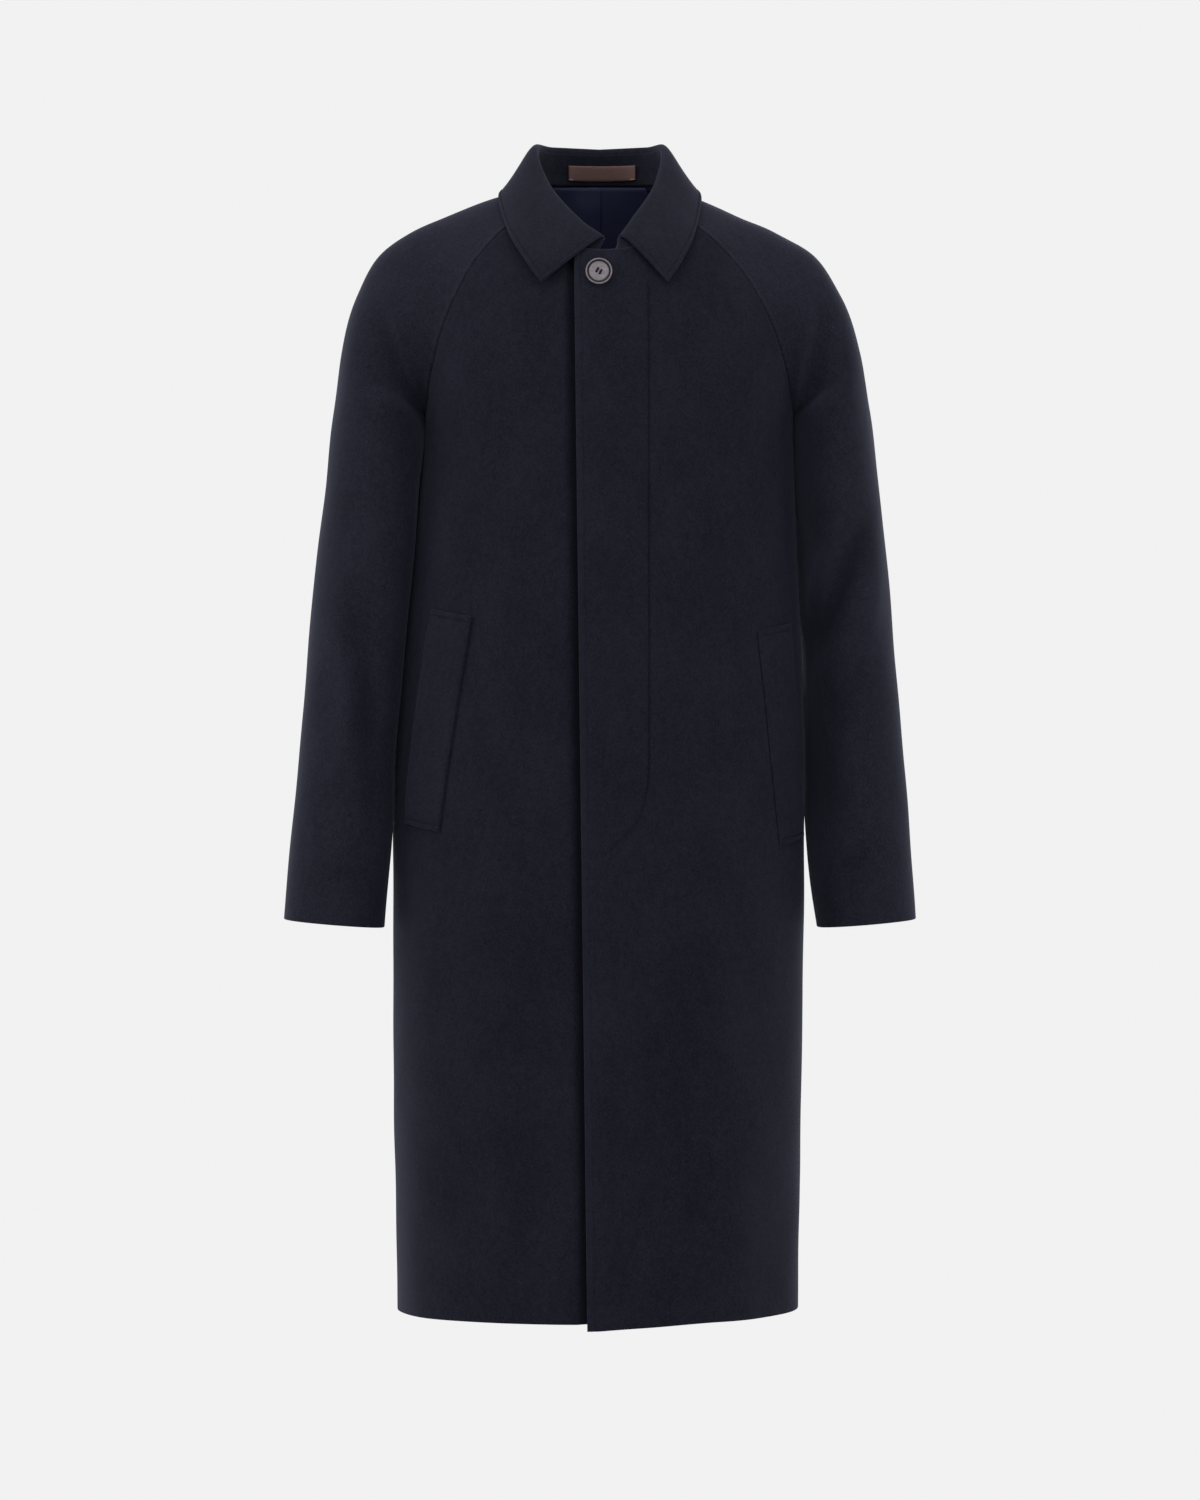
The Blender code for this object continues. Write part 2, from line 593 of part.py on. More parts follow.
def fall_grid(lines):
    """The fall's skin from the turn inside the neck, over the roll and down to its edge."""
    up, t = np.array([0.0, 0.0, 1.0]), np.linspace(0, 1, DENSE)
    columns = []
    wanted = [lines[name] for name in ("roll", "edge", "out", "turn", "bulge")]
    for roll, edge, out, turn, bulge in zip(*wanted):
        start = roll - out * ROLL_HALF - up * turn
        rise = bezier(start, start + up * turn * RISE_SHARE, roll - out * ROLL_HALF * TURN_SHARE, roll, t)
        near_edge = edge + (roll - edge) * EDGE_SHARE + out * bulge
        fall = bezier(roll, roll + out * FALL_HANDLE, near_edge, edge, t)
        line = np.concatenate([rise, fall[1:]])
        length = np.concatenate([[0], np.cumsum(np.linalg.norm(np.diff(line, axis=0), axis=1))])
        columns.append(at_lengths(line, length, np.array(FALL_STEPS) * length[-1]))
    return np.array(columns).transpose(1, 0, 2)


def own_normals(grid, facing):
    """Normals of one grid by itself."""
    return shared_normals({"grid": grid}, {"grid": facing})[0]["grid"]


def out_normals(grid, lines, row, sign):
    """Normals of a collar grid, turned so that those of one row agree with the way out of the neck."""
    normals = own_normals(grid, (0, 0, 1))
    agree = np.sum(normals[row] * lines["out"]) * sign
    return normals if agree > 0 else -normals


def add_collar(grids, finish, label_finish):
    """The stand, the fall and the label on the stand."""
    lines = whole_collar(grids)
    stand = stand_grid(lines)
    inward = out_normals(stand, lines, 1, -1)
    wall("collar_stand", stand, stand + lines["out"] * COLLAR_CLOTH, finish)
    fall = fall_grid(lines)
    under = fall - out_normals(fall, lines, -2, 1) * COLLAR_CLOTH
    under[0] = fall[0] + lines["out"] * COLLAR_CLOTH
    wall("collar_fall", fall, under, finish)
    add_label(stand, inward, label_finish)


def add_label(stand, inward, finish):
    """The label, made from the stand's own points at centre back, moved in."""
    half = LABEL_SIZE[0] / 2
    x = stand[0, :, 0]
    behind = stand[0, :, 1] > 0
    wanted = np.linspace(LABEL_MIDDLE_X - half, LABEL_MIDDLE_X + half, 9)
    levels = (LABEL_FOOT_Z, LABEL_FOOT_Z + LABEL_SIZE[1] / 2, LABEL_FOOT_Z + LABEL_SIZE[1])
    order = np.argsort(np.where(behind, x, 9.0))[: behind.sum()]
    rows = []
    for level in levels:
        share = (level - stand[0, order, 2]) / (stand[-1, order, 2] - stand[0, order, 2])
        line = stand[0, order] + (stand[-1, order] - stand[0, order]) * share[:, None]
        rows.append((line, inward[1, order]))
    skin = np.array([at_lengths(line, line[:, 0], wanted) for line, _ in rows])
    way = np.array([at_lengths(turn, line[:, 0], wanted) for line, turn in rows])
    wall("neck_label", skin + way * (LYING_GAP + LABEL_CLOTH), skin + way * LYING_GAP, finish)


def pleat_columns(right_end, left_end):
    """Places across the lining and, at each, how many layers of the knife pleat lie under it."""
    right = np.linspace(right_end, -PLEAT_DEEP * 1.6, LINING_SIDE_COLUMNS)
    left = np.linspace(PLEAT_DEEP * 1.6, left_end, LINING_SIDE_COLUMNS)
    ramp = np.linspace(0, 1, LINING_SIDE_COLUMNS) ** 2 * 2.0
    deep, half = PLEAT_DEEP * 0.8, PLEAT_STEP / 2
    near, far = PLEAT_TOP_X - half, -deep - half
    fold_x = [near, PLEAT_TOP_X, near, -deep, far, -deep, PLEAT_DEEP * 0.5]
    fold_layers = [2.0, 1.5, 1.0, 1.0, 0.5, 0.0, 0.0]
    layers = np.concatenate([ramp, fold_layers, np.zeros(LINING_SIDE_COLUMNS)])
    return np.concatenate([right, fold_x, left]), layers


def lining_grid(under, normals):
    """The back lining's middle surface, made from the back's inner points, moved in."""
    rows = []
    for line, out in zip(under[:CAP_ROWS], normals[:CAP_ROWS]):
        x, layers = pleat_columns(line[0, 0] * LINING_EDGE, line[-1, 0] * LINING_EDGE)
        inset = LINING_GAP + LINING_CLOTH / 2 + layers * PLEAT_STEP
        rows.append(at_lengths(line, line[:, 0], x) - at_lengths(out, line[:, 0], x) * inset[:, None])
    return np.array(rows)


def add_lining(under, normals, finish):
    """The part of the back lining that shows at the neck, with its centre pleat."""
    rows = lining_grid(under, normals)
    out = own_normals(rows, (0, -1, 0)) * LINING_CLOTH / 2
    steps = border_steps(rows, out, SEAM_GAP)
    wall("back_lining", rows + out + steps, rows - out + steps, finish)


def bilinear(grid, u, v):
    """Grid values at a share u across and v down."""
    rows, columns = grid.shape[0] - 1, grid.shape[1] - 1
    row = np.clip((v * rows).astype(int), 0, rows - 1)
    column = np.clip((u * columns).astype(int), 0, columns - 1)
    a, b = (v * rows - row)[..., None], (u * columns - column)[..., None]
    upper = grid[row, column] * (1 - b) + grid[row, column + 1] * b
    lower = grid[row + 1, column] * (1 - b) + grid[row + 1, column + 1] * b
    return upper * (1 - a) + lower * a


def on_front(grid, overlaps, along, z):
    """Where a distance from centre front and a height lie on a front, as shares across and down it."""
    lengths = np.linalg.norm(np.diff(grid, axis=1), axis=2).sum(axis=1)
    count = len(lengths) - 1
    v = np.full(np.shape(z), 0.6)
    for _ in range(30):
        place = v * count
        total = np.interp(place, np.arange(count + 1), lengths)
        u = (along + np.interp(place, np.arange(count + 1), overlaps)) / total
        v = np.clip(v + (bilinear(grid, u, v)[..., 2] - z) * 0.8, 0, 1)
    return u, v


def add_welt(name, grid, overlaps, normals, finish):
    """A pocket welt, made from its front's own points, moved out."""
    row = WELTS[name]
    down = np.linspace(0, 1, WELT_ROWS)[:, None]
    across = np.linspace(0, 1, WELT_COLUMNS)[None, :]
    along = row.top_along + (row.foot_along - row.top_along) * down + row.width * across
    z = row.top_z + (row.foot_z - row.top_z) * down + row.rise * across
    u, v = on_front(grid, overlaps, along, z)
    skin, out = bilinear(grid, u, v), bilinear(normals, u, v)
    wall(name, skin + out * (LYING_GAP + WELT_CLOTH), skin + out * LYING_GAP, finish)


def turned_profile(rows, sides):
    """Points and faces of a profile turned about Z; its first and last rows lie on the axis."""
    angle = np.arange(sides) * 2 * math.pi / sides
    turn = np.stack([np.cos(angle), np.sin(angle)], axis=1)
    rings = [np.column_stack([turn * radius, np.full(sides, height)]) for radius, height in rows[1:-1]]
    points = np.concatenate(rings + [[[0, 0, rows[0].height], [0, 0, rows[-1].height]]])
    foot, top = len(points) - 2, len(points) - 1
    faces = []
    for k in range(sides):
        n = (k + 1) % sides
        faces.append((foot, n, k))
        for ring in range(len(rings) - 1):
            low, high = ring * sides, (ring + 1) * sides
            faces.append((low + k, low + n, high + n, high + k))
        last = (len(rings) - 1) * sides
        faces.append((last + k, last + n, top))
    return points, faces


def add_button(grid, finish):
    """The button on the left front, with four holes cut through it."""
    line = np.array([at_lengths(row, row[:, 0], np.array([BUTTON_X]))[0] for row in grid[:CAP_ROWS]])
    y =np.interp(-BUTTON_Z, -line[:, 2], line[:, 1])
    way = Vector((0.0, -math.cos(BUTTON_TILT), math.sin(BUTTON_TILT)))
    seat = Vector((BUTTON_X, y, BUTTON_Z)) + way * (BUTTON_RADIUS * 0.12 + LYING_GAP)
    place = Matrix.Translation(seat) @ way.to_track_quat("Z", "Y").to_matrix().to_4x4()
    button = add_object("button_top", *turned_profile(BUTTON_PROFILE, BUTTON_SIDES), finish)
    button.matrix_world = place
    for number in range(4):
        angle = HOLE_TURN + math.pi / 4 + number * math.pi / 2
        offset = HOLE_PITCH / math.sqrt(2)
        centre = Vector((offset * math.cos(angle), offset * math.sin(angle), 0.002))
        shape = bmesh.new()
        bmesh.ops.create_cone(
            shape, cap_ends=True, segments=8, radius1=HOLE_RADIUS, radius2=HOLE_RADIUS, depth=0.012
        )
        mesh = bpy.data.meshes.new("hole_cutter")
        shape.to_mesh(mesh)
        shape.free()
        cutter = bpy.data.objects.new(f"hole_cutter_{number}", mesh)
        bpy.context.scene.collection.objects.link(cutter)
        cutter.matrix_world = place @ Matrix.Translation(centre)
        cutter.hide_render = True
        cutter.display_type = "WIRE"
        cut = button.modifiers.new(f"hole_{number}", "BOOLEAN")
        cut.operation = "DIFFERENCE"
        cut.solver = "EXACT"
        cut.object = cutter


def main():
    """Clears the scene and builds the coat."""
    for old in list(bpy.data.objects):
        bpy.data.objects.remove(old, do_unlink=True)
    grids, facings, overlaps = {}, {}, {}
    for side, word in ((-1, "right"), (1, "left")):
        ahead, behind = sleeve_grids(side)
        grids["sleeve_front_" + word], facings["sleeve_front_" + word] = ahead, (0, -1, 0)
        grids["sleeve_back_" + word], facings["sleeve_back_" + word] = behind, (0, 1, 0)
        grids["front_" + word], overlaps[side] = front_grid(side, ahead[:, 0])
        facings["front_" + word] = (0, -1, 0)
    grids["back"] = back_grid(grids["sleeve_back_right"][:, -1], grids["sleeve_back_left"][:, -1])
    facings["back"] = (0, 1, 0)
    plain, _ = shared_normals(grids, facings)
    grids = {name: folded(grid, plain[name]) for name, grid in grids.items()}
    normals, grow = shared_normals(grids, facings)
    wool = material("wool", WOOL, 0.85)
    under = {name: shell_wall(name, grids[name], normals[name], grow[name], wool) for name in grids}
    add_collar(grids, material("collar_wool", COLLAR_WOOL, 0.85), material("label", LABEL_BROWN, 0.7))
    add_lining(under["back"], normals["back"], material("satin", SATIN, 0.35))
    for name, row in WELTS.items():
        word = "left" if row.side > 0 else "right"
        add_welt(name, grids["front_" + word], overlaps[row.side], normals["front_" + word], wool)
    add_button(grids["front_left"], material("horn", HORN, 0.4))


main()
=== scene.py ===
"""Looks of the raglan coat: cloth shells on the forms of its solids, sewing, finishes, light and camera.

Units are metres and +Z is up. The coat faces -Y and the wearer's left is +X.
"""

import logging
import math
from dataclasses import dataclass
from enum import Enum
from typing import Any, NamedTuple, Optional, Sequence

import bpy
import numpy as np
from mathutils import Matrix, Vector


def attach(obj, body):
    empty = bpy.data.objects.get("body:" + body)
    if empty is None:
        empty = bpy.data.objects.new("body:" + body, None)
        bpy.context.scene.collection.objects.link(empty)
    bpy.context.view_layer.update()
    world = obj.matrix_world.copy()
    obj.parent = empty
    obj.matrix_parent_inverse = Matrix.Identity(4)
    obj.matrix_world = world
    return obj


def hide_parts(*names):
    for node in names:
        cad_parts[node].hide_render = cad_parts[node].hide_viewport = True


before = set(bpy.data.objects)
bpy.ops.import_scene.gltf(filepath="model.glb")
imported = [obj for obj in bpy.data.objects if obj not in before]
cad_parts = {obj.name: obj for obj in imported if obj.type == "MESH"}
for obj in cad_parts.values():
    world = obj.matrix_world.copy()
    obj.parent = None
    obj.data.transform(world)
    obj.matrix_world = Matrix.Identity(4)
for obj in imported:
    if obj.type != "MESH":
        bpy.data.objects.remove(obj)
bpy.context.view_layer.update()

LOG = logging.getLogger("raglan_coat")
Array = np.ndarray
Colour = tuple[float, float, float]
UP = np.array([0.0, 0.0, 1.0])
EVEN = (1.0, 1.0, 1.0)
MILLIMETRES = 1000.0
X_MARGIN = 0.01

# Cloth and sewing sizes
SHELL = 0.0022
COLLAR_CLOTH = 0.0026
WELT_CLOTH = 0.0026
LINING_CLOTH = 0.0010
LABEL_CLOTH = 0.0010
LYING_GAP = 0.0005
DENSE = 161


class Side(Enum):
    """The wearer's right or left, as the sign of X."""

    RIGHT = -1
    LEFT = 1

    @property
    def word(self) -> str:
        """The side's name in a piece's name."""
        return self.name.lower()


class Face(Enum):
    """The view that a crease is drawn in, as the sign of Y that its cloth faces."""

    FRONT = -1
    BACK = 1


class Border(Enum):
    """How a panel's border is finished."""

    FREE = "turned edge"
    SEAM = "plain seam"
    LAP = "lapped over its neighbour and edge-stitched"
    UNDER = "under a lap"


class BodyRow(NamedTuple):
    """The trunk at one height."""

    z: float
    lean: float
    half_width: float
    front: float
    back: float


class SeamRow(NamedTuple):
    """A point of a raglan seam, and how the sleeve's section leaves it."""

    x: float
    y: float
    z: float
    middle_z: float
    swing: float
    lift: float
    seam_reach: float
    crown_reach: float


class CrownRow(NamedTuple):
    """A point of the line over the shoulder."""

    right_x: float
    left_x: float
    y: float
    z: float


class RingRow(NamedTuple):
    """One ring of the sleeves below the underarm."""

    inner_z: float
    outer_z: float
    right_inner: float
    right_inner_y: float
    right_outer: float
    left_inner: float
    left_inner_y: float
    left_outer: float
    right_y: float
    left_y: float
    front: float
    back: float


class CollarRow(NamedTuple):
    """The collar at one place between centre back and its end."""

    seat: float
    roll_x: float
    roll_y: float
    roll_z: float
    roll_shift: float
    edge_x: float
    edge_y: float
    edge_z: float
    edge_shift: float
    turn: float
    bulge: float


class Crease(NamedTuple):
    """A soft trough, or a ridge where depth is negative, along a path of (x, z) places in one view."""

    path: tuple[tuple[float, float], ...]
    half_width: float
    depth: float


class Groove(NamedTuple):
    """A bell across the cloth beside a line: how proud it stands, how far in it lies and its width."""

    height: float
    inside: float
    width: float


class Wave(NamedTuple):
    """A wave round the skirt: how often it goes round, its start, its twist with height and its share."""

    turns: float
    start: float
    twist: float
    share: float


class Grain(NamedTuple):
    """One noise of a finish, and its shares in the tone, the roughness and the height."""

    scale: float
    detail: float
    stretch: tuple[float, float, float]
    tone: float
    rough: float = 0.0
    height: float = 0.0


class Cut(NamedTuple):
    """The flat size that a piece was cut to, in metres, and its flat area."""

    width: float
    length: float
    area: float


BODY = (
    BodyRow(0.000, 0.0000, 0.150, 0.048, 0.0780),
    BodyRow(-0.040, 0.0010, 0.160, 0.067, 0.0915),
    BodyRow(-0.079, 0.0040, 0.170, 0.0885, 0.1020),
    BodyRow(-0.120, 0.0065, 0.1745, 0.1035, 0.1095),
    BodyRow(-0.165, 0.0082, 0.1750, 0.1145, 0.1145),
    BodyRow(-0.240, 0.0092, 0.1765, 0.1260, 0.1170),
    BodyRow(-0.320, 0.0060, 0.1820, 0.1325, 0.1145),
    BodyRow(-0.430, 0.0030, 0.1895, 0.1345, 0.1080),
    BodyRow(-0.500, 0.0015, 0.1942, 0.1345, 0.1075),
    BodyRow(-0.560, 0.0000, 0.1968, 0.1350, 0.1105),
    BodyRow(-0.660, -0.0003, 0.1970, 0.1365, 0.1190),
    BodyRow(-0.850, -0.0010, 0.1958, 0.1405, 0.1270),
    BodyRow(-1.095, -0.0002, 0.1918, 0.1455, 0.1350),
)
FRONT_SEAM = (
    SeamRow(0.0700, -0.0450, -0.042, -0.079, 82, 26, 0.0200, 0.0200),
    SeamRow(0.0935, -0.0565, -0.056, -0.102, 68, 30, 0.0230, 0.0230),
    SeamRow(0.1240, -0.0680, -0.089, -0.134, 56, 40, 0.0280, 0.0280),
    SeamRow(0.1435, -0.0745, -0.122, -0.166, 42, 44, 0.0340, 0.0360),
    SeamRow(0.1570, -0.0730, -0.153, -0.195, 22, 40, 0.0400, 0.0470),
    SeamRow(0.1680, -0.0610, -0.190, -0.228, -14, 30, 0.0480, 0.0640),
    SeamRow(0.1740, -0.0360, -0.222, -0.258, -54, 14, 0.0720, 0.0860),
    SeamRow(0.1765, 0.0000, -0.240, -0.285, -90, 0, 0.1067, 0.1067),
)
BACK_SEAM = (
    SeamRow(0.0550, 0.0500, -0.002, 0.000, 52, -4, 0.0145, 0.0145),
    SeamRow(0.0850, 0.0660, -0.034, -0.042, 58, 14, 0.0210, 0.0210),
    SeamRow(0.1130, 0.0780, -0.068, -0.085, 56, 32, 0.0280, 0.0280),
    SeamRow(0.1340, 0.0830, -0.103, -0.125, 44, 38, 0.0340, 0.0360),
    SeamRow(0.1510, 0.0790, -0.142, -0.165, 24, 37, 0.0400, 0.0470),
    SeamRow(0.1645, 0.0630, -0.182, -0.205, -14, 28, 0.0480, 0.0640),
    SeamRow(0.1725, 0.0360, -0.218, -0.240, -54, 13, 0.0740, 0.0880),
    SeamRow(0.1765, 0.0000, -0.240, -0.268, -90, 0, 0.1107, 0.1107),
)
CROWN = (
    CrownRow(-0.0760, 0.0760, 0.012, -0.0115),
    CrownRow(-0.1118, 0.1013, 0.006, -0.0239),
    CrownRow(-0.1493, 0.1339, 0.002, -0.0393),
    CrownRow(-0.1810, 0.1685, 0.000, -0.0546),
    CrownRow(-0.2117, 0.2069, 0.000, -0.0777),
    CrownRow(-0.2328, 0.2318, 0.000, -0.1161),
    CrownRow(-0.2472, 0.2501, 0.000, -0.1708),
    CrownRow(-0.2539, 0.2578, 0.000, -0.2188),
)
RINGS = (
    RingRow(-0.258, -0.240, -0.1676, -0.020, -0.2565, 0.1850, 0.015, 0.2613, -0.002, 0.000, 0.0800, 0.0830),
    RingRow(-0.300, -0.285, -0.1713, -0.036, -0.2608, 0.1860, 0.030, 0.2667, -0.004, -0.002, 0.0785, 0.0800),
    RingRow(-0.360, -0.346, -0.1754, -0.046, -0.2682, 0.1885, 0.040, 0.2727, -0.007, -0.004, 0.0750, 0.0750),
    RingRow(-0.450, -0.437, -0.1846, -0.050, -0.2770, 0.1938, 0.042, 0.2806, -0.013, -0.009, 0.0690, 0.0680),
    RingRow(-0.560, -0.549, -0.1938, -0.052, -0.2858, 0.1970, 0.036, 0.2900, -0.022, -0.017, 0.0615, 0.0600),
    RingRow(-0.650, -0.641, -0.1985, -0.046, -0.2944, 0.1992, 0.010, 0.2968, -0.029, -0.024, 0.0560, 0.0540),
    RingRow(-0.719, -0.711, -0.2047, -0.036, -0.3002, 0.2080, -0.020, 0.3012, -0.033, -0.028, 0.0530, 0.0520),
)
COLLAR = (
    CollarRow(0.000, 0.0000, 0.0720, 0.0356, 0.0000, 0.0000, 0.1000, -0.0200, 0.0000, 0.0065, 0.0010),
    CollarRow(0.200, 0.0450, 0.0600, 0.0362, 0.0000, 0.0640, 0.0820, -0.0200, 0.0000, 0.0065, 0.0000),
    CollarRow(0.400, 0.0628, 0.0180, 0.0315, 0.0000, 0.0964, 0.0050, -0.0142, 0.0000, 0.0060, -0.0040),
    CollarRow(0.600, 0.0525, -0.0320, -0.0090, 0.0025, 0.0900, -0.0650, -0.0560, 0.0020, 0.0050, 0.0000),
    CollarRow(0.800, 0.0270, -0.0690, -0.0460, 0.0060, 0.0740, -0.0960, -0.0890, 0.0040, 0.0040, 0.0020),
    CollarRow(1.000, 0.0085, -0.0870, -0.0655, 0.0118, 0.0595, -0.1065, -0.1110, 0.0047, 0.0030, 0.0020),
)
FRONT_CREASES = (
    # Front of the right sleeve, at the underarm and down the forearm
    Crease(((-0.222, -0.209), (-0.196, -0.220), (-0.168, -0.232)), 0.0120, -0.0040),
    Crease(((-0.204, -0.146), (-0.187, -0.190), (-0.172, -0.234)), 0.0105, 0.0036),
    Crease(((-0.198, -0.142), (-0.182, -0.178), (-0.168, -0.212)), 0.0058, -0.0046),
    Crease(((-0.187, -0.158), (-0.176, -0.188), (-0.165, -0.218)), 0.0050, 0.0044),
    Crease(((-0.225, -0.190), (-0.202, -0.232), (-0.180, -0.290)), 0.0160, 0.0026),
    Crease(((-0.234, -0.414), (-0.222, -0.474), (-0.219, -0.531), (-0.207, -0.616)), 0.0130, 0.0062),
    Crease(((-0.250, -0.430), (-0.241, -0.492), (-0.236, -0.560)), 0.0120, -0.0034),
    Crease(((-0.252, -0.664), (-0.236, -0.669), (-0.218, -0.666)), 0.0080, 0.0022),
    # Front of the left sleeve, at the underarm, elbow and cuff
    Crease(((0.233, -0.209), (0.210, -0.220), (0.184, -0.232)), 0.0120, -0.0040),
    Crease(((0.212, -0.142), (0.206, -0.188), (0.197, -0.229), (0.186, -0.246)), 0.0105, 0.0036),
    Crease(((0.201, -0.138), (0.192, -0.190), (0.187, -0.232)), 0.0062, -0.0046),
    Crease(((0.234, -0.180), (0.220, -0.226), (0.206, -0.282)), 0.0150, 0.0026),
    Crease(((0.252, -0.332), (0.230, -0.388), (0.198, -0.468)), 0.0120, 0.0086),
    Crease(((0.236, -0.322), (0.215, -0.378), (0.190, -0.440)), 0.0110, -0.0044),
    Crease(((0.268, -0.360), (0.255, -0.420), (0.236, -0.480)), 0.0120, -0.0044),
    Crease(((0.220, -0.480), (0.216, -0.550), (0.212, -0.626)), 0.0120, 0.0044),
    Crease(((0.262, -0.642), (0.246, -0.654), (0.226, -0.664)), 0.0080, 0.0026),
    # Chest, waist and skirt
    Crease(((-0.140, -0.240), (-0.118, -0.330), (-0.112, -0.420)), 0.0320, 0.0020),
    Crease(((0.150, -0.240), (0.128, -0.330), (0.122, -0.420)), 0.0320, 0.0020),
    Crease(((0.076, -0.700), (0.081, -0.880), (0.083, -1.110)), 0.0260, 0.0030),
    Crease(((-0.070, -0.680), (-0.078, -0.880), (-0.082, -1.110)), 0.0300, 0.0024),
    Crease(((0.138, -0.720), (0.141, -0.900), (0.140, -1.110)), 0.0240, -0.0022),
)
# The same kinds of creases behind
BACK_CREASES = (
    Crease(((-0.214, -0.136), (-0.196, -0.180), (-0.176, -0.230)), 0.0120, 0.0055),
    Crease(((0.214, -0.136), (0.198, -0.180), (0.180, -0.230)), 0.0120, 0.0055),
    Crease(((-0.190, -0.130), (-0.172, -0.180), (-0.158, -0.250)), 0.0120, -0.0028),
    Crease(((0.190, -0.130), (0.174, -0.180), (0.160, -0.250)), 0.0120, -0.0028),
    Crease(((-0.250, -0.340), (-0.232, -0.386), (-0.204, -0.446)), 0.0150, 0.0052),
    Crease(((0.252, -0.340), (0.234, -0.386), (0.206, -0.446)), 0.0150, 0.0052),
    Crease(((-0.256, -0.400), (-0.240, -0.440), (-0.212, -0.490)), 0.0130, 0.0036),
    Crease(((0.258, -0.400), (0.242, -0.440), (0.214, -0.490)), 0.0130, 0.0036),
    Crease(((-0.130, -0.150), (-0.108, -0.250), (-0.094, -0.380)), 0.0280, 0.0030),
    Crease(((0.132, -0.150), (0.110, -0.250), (0.096, -0.380)), 0.0280, 0.0030),
    Crease(((-0.060, -0.560), (-0.072, -0.800), (-0.078, -1.110)), 0.0320, 0.0042),
    Crease(((0.062, -0.560), (0.074, -0.800), (0.080, -1.110)), 0.0320, 0.0042),
    Crease(((0.000, -0.480), (0.002, -0.760), (0.000, -1.110)), 0.0380, -0.0030),
)
CREASES = [(Face.FRONT, crease) for crease in FRONT_CREASES]
CREASES += [(Face.BACK, crease) for crease in BACK_CREASES]
FLY_STITCH = (
    (0.0461, -0.1100),
    (0.0461, -0.3200),
    (0.0461, -0.5435),
    (0.0433, -0.5910),
    (0.0340, -0.6180),
    (0.0163, -0.6367),
    (-0.0023, -0.6497),
)
# How far the collar's seam runs along the neck towards centre front
SEAT_END = {Side.RIGHT: 0.995, Side.LEFT: 0.938}
# Columns of the left front from its edge: close steps, then bands of stitching, plain cloth and fly
EDGE_STEPS = (0.0, 0.0003, 0.0007, 0.0012, 0.0018, 0.0026)
EDGE_BANDS = ((0.0034, 0.0094, 13), (0.0115, 0.0580, 20), (0.0590, 0.0725, 22))
# Rows close to a hem or cuff
FOOT_STARTS = 0.006
FOOT_STEPS = (0.0034, 0.0022, 0.0012, 0.0005, 0.0)
# Relief beside borders and stitching
LAP_WIDTH = 0.0062
EDGE_STITCH = 0.0066
COLLAR_STITCH = 0.0046
BORDER_RELIEF = {
    Border.SEAM: (Groove(-0.0008, 0.0, 0.0014), Groove(0.0003, 0.005, 0.003)),
    Border.UNDER: (Groove(-0.0007, 0.0, 0.0018),),
    Border.LAP: (Groove(-0.0004, 0.0, 0.0009), Groove(-0.0002, LAP_WIDTH, 0.0009)),
    Border.FREE: (Groove(0.0003, EDGE_STITCH / 2, 0.0022), Groove(-0.0004, EDGE_STITCH, 0.0009)),
}
COLLAR_RELIEF = (Groove(0.0003, COLLAR_STITCH / 2, 0.0020), Groove(-0.0005, COLLAR_STITCH, 0.0009))
FLY_RELIEF = (Groove(-0.0010, 0.0, 0.0014),)
SKIRT_WAVES = (Wave(5, 0.7, 0.0, 1.0), Wave(8, 2.1, 1.5, 0.7), Wave(13, 0.0, 0.0, 0.4))
# Thread: a way that no thread runs, to turn its rings from, and the width of its ends
THREAD_ASIDE = (0.31, 0.87, 0.38)
THREAD_TAPER = 0.25
# Points of the label's foot that a tack holds at each end
TACKED_ENDS = (slice(0, 6), slice(-6, None))
# Radius and height from the middle of the button's foot over the rim to the middle of its face
BUTTON_PROFILE = (
    (0.0000, 0.0000),
    (0.0100, 0.0000),
    (0.0119, 0.0006),
    (0.0125, 0.0020),
    (0.0123, 0.0033),
    (0.0118, 0.0037),
    (0.0112, 0.0033),
    (0.0107, 0.0018),
    (0.0102, 0.0012),
    (0.0097, 0.0016),
    (0.0094, 0.0026),
    (0.0088, 0.0032),
    (0.0050, 0.0030),
    (0.0000, 0.0028),
)


def smooth(knots: Sequence[float], values: Array, places: Array) -> Array:
    """Values on the curve that runs smoothly through a row of knots.

    Between two knots the value is a cubic whose end slopes are those of the neighbouring stretches,
    each weighted by the other's length.

    Args:
        knots: rising places of the known values.
        values: one row of values for each knot.
        places: where values are wanted.
    Returns:
        One row of values for each place.
    """
    knots = np.asarray(knots, float)
    values = np.asarray(values, float).reshape(len(knots), -1)
    step = np.diff(knots)[:, None]
    slope = np.diff(values, axis=0) / step
    tangent = np.vstack([slope[:1], slope])
    tangent[1:-1] = (slope[:-1] * step[1:] + slope[1:] * step[:-1]) / (step[:-1] + step[1:])
    places = np.clip(np.atleast_1d(np.asarray(places, float)), knots[0], knots[-1])
    index = np.clip(np.searchsorted(knots, places, side="right") - 1, 0, len(knots) - 2)
    width = step[index]
    t = (places - knots[index])[:, None] / width
    rise = t * t * (3 - 2 * t)
    start = t * (1 - t) ** 2 * width * tangent[index]
    end = t * t * (t - 1) * width * tangent[index + 1]
    return values[index] * (1 - rise) + values[index + 1] * rise + start + end


def ramp(low: float, high: float, value: Array) -> Array:
    """A smooth step from 0 at low to 1 at high."""
    t = np.clip((value - low) / (high - low), 0, 1)
    return t * t * (3 - 2 * t)


def bell(value: Array, width: float) -> Array:
    """A bell curve: 1 at nought and about a third at the width."""
    return np.exp(-((value / width) ** 2))


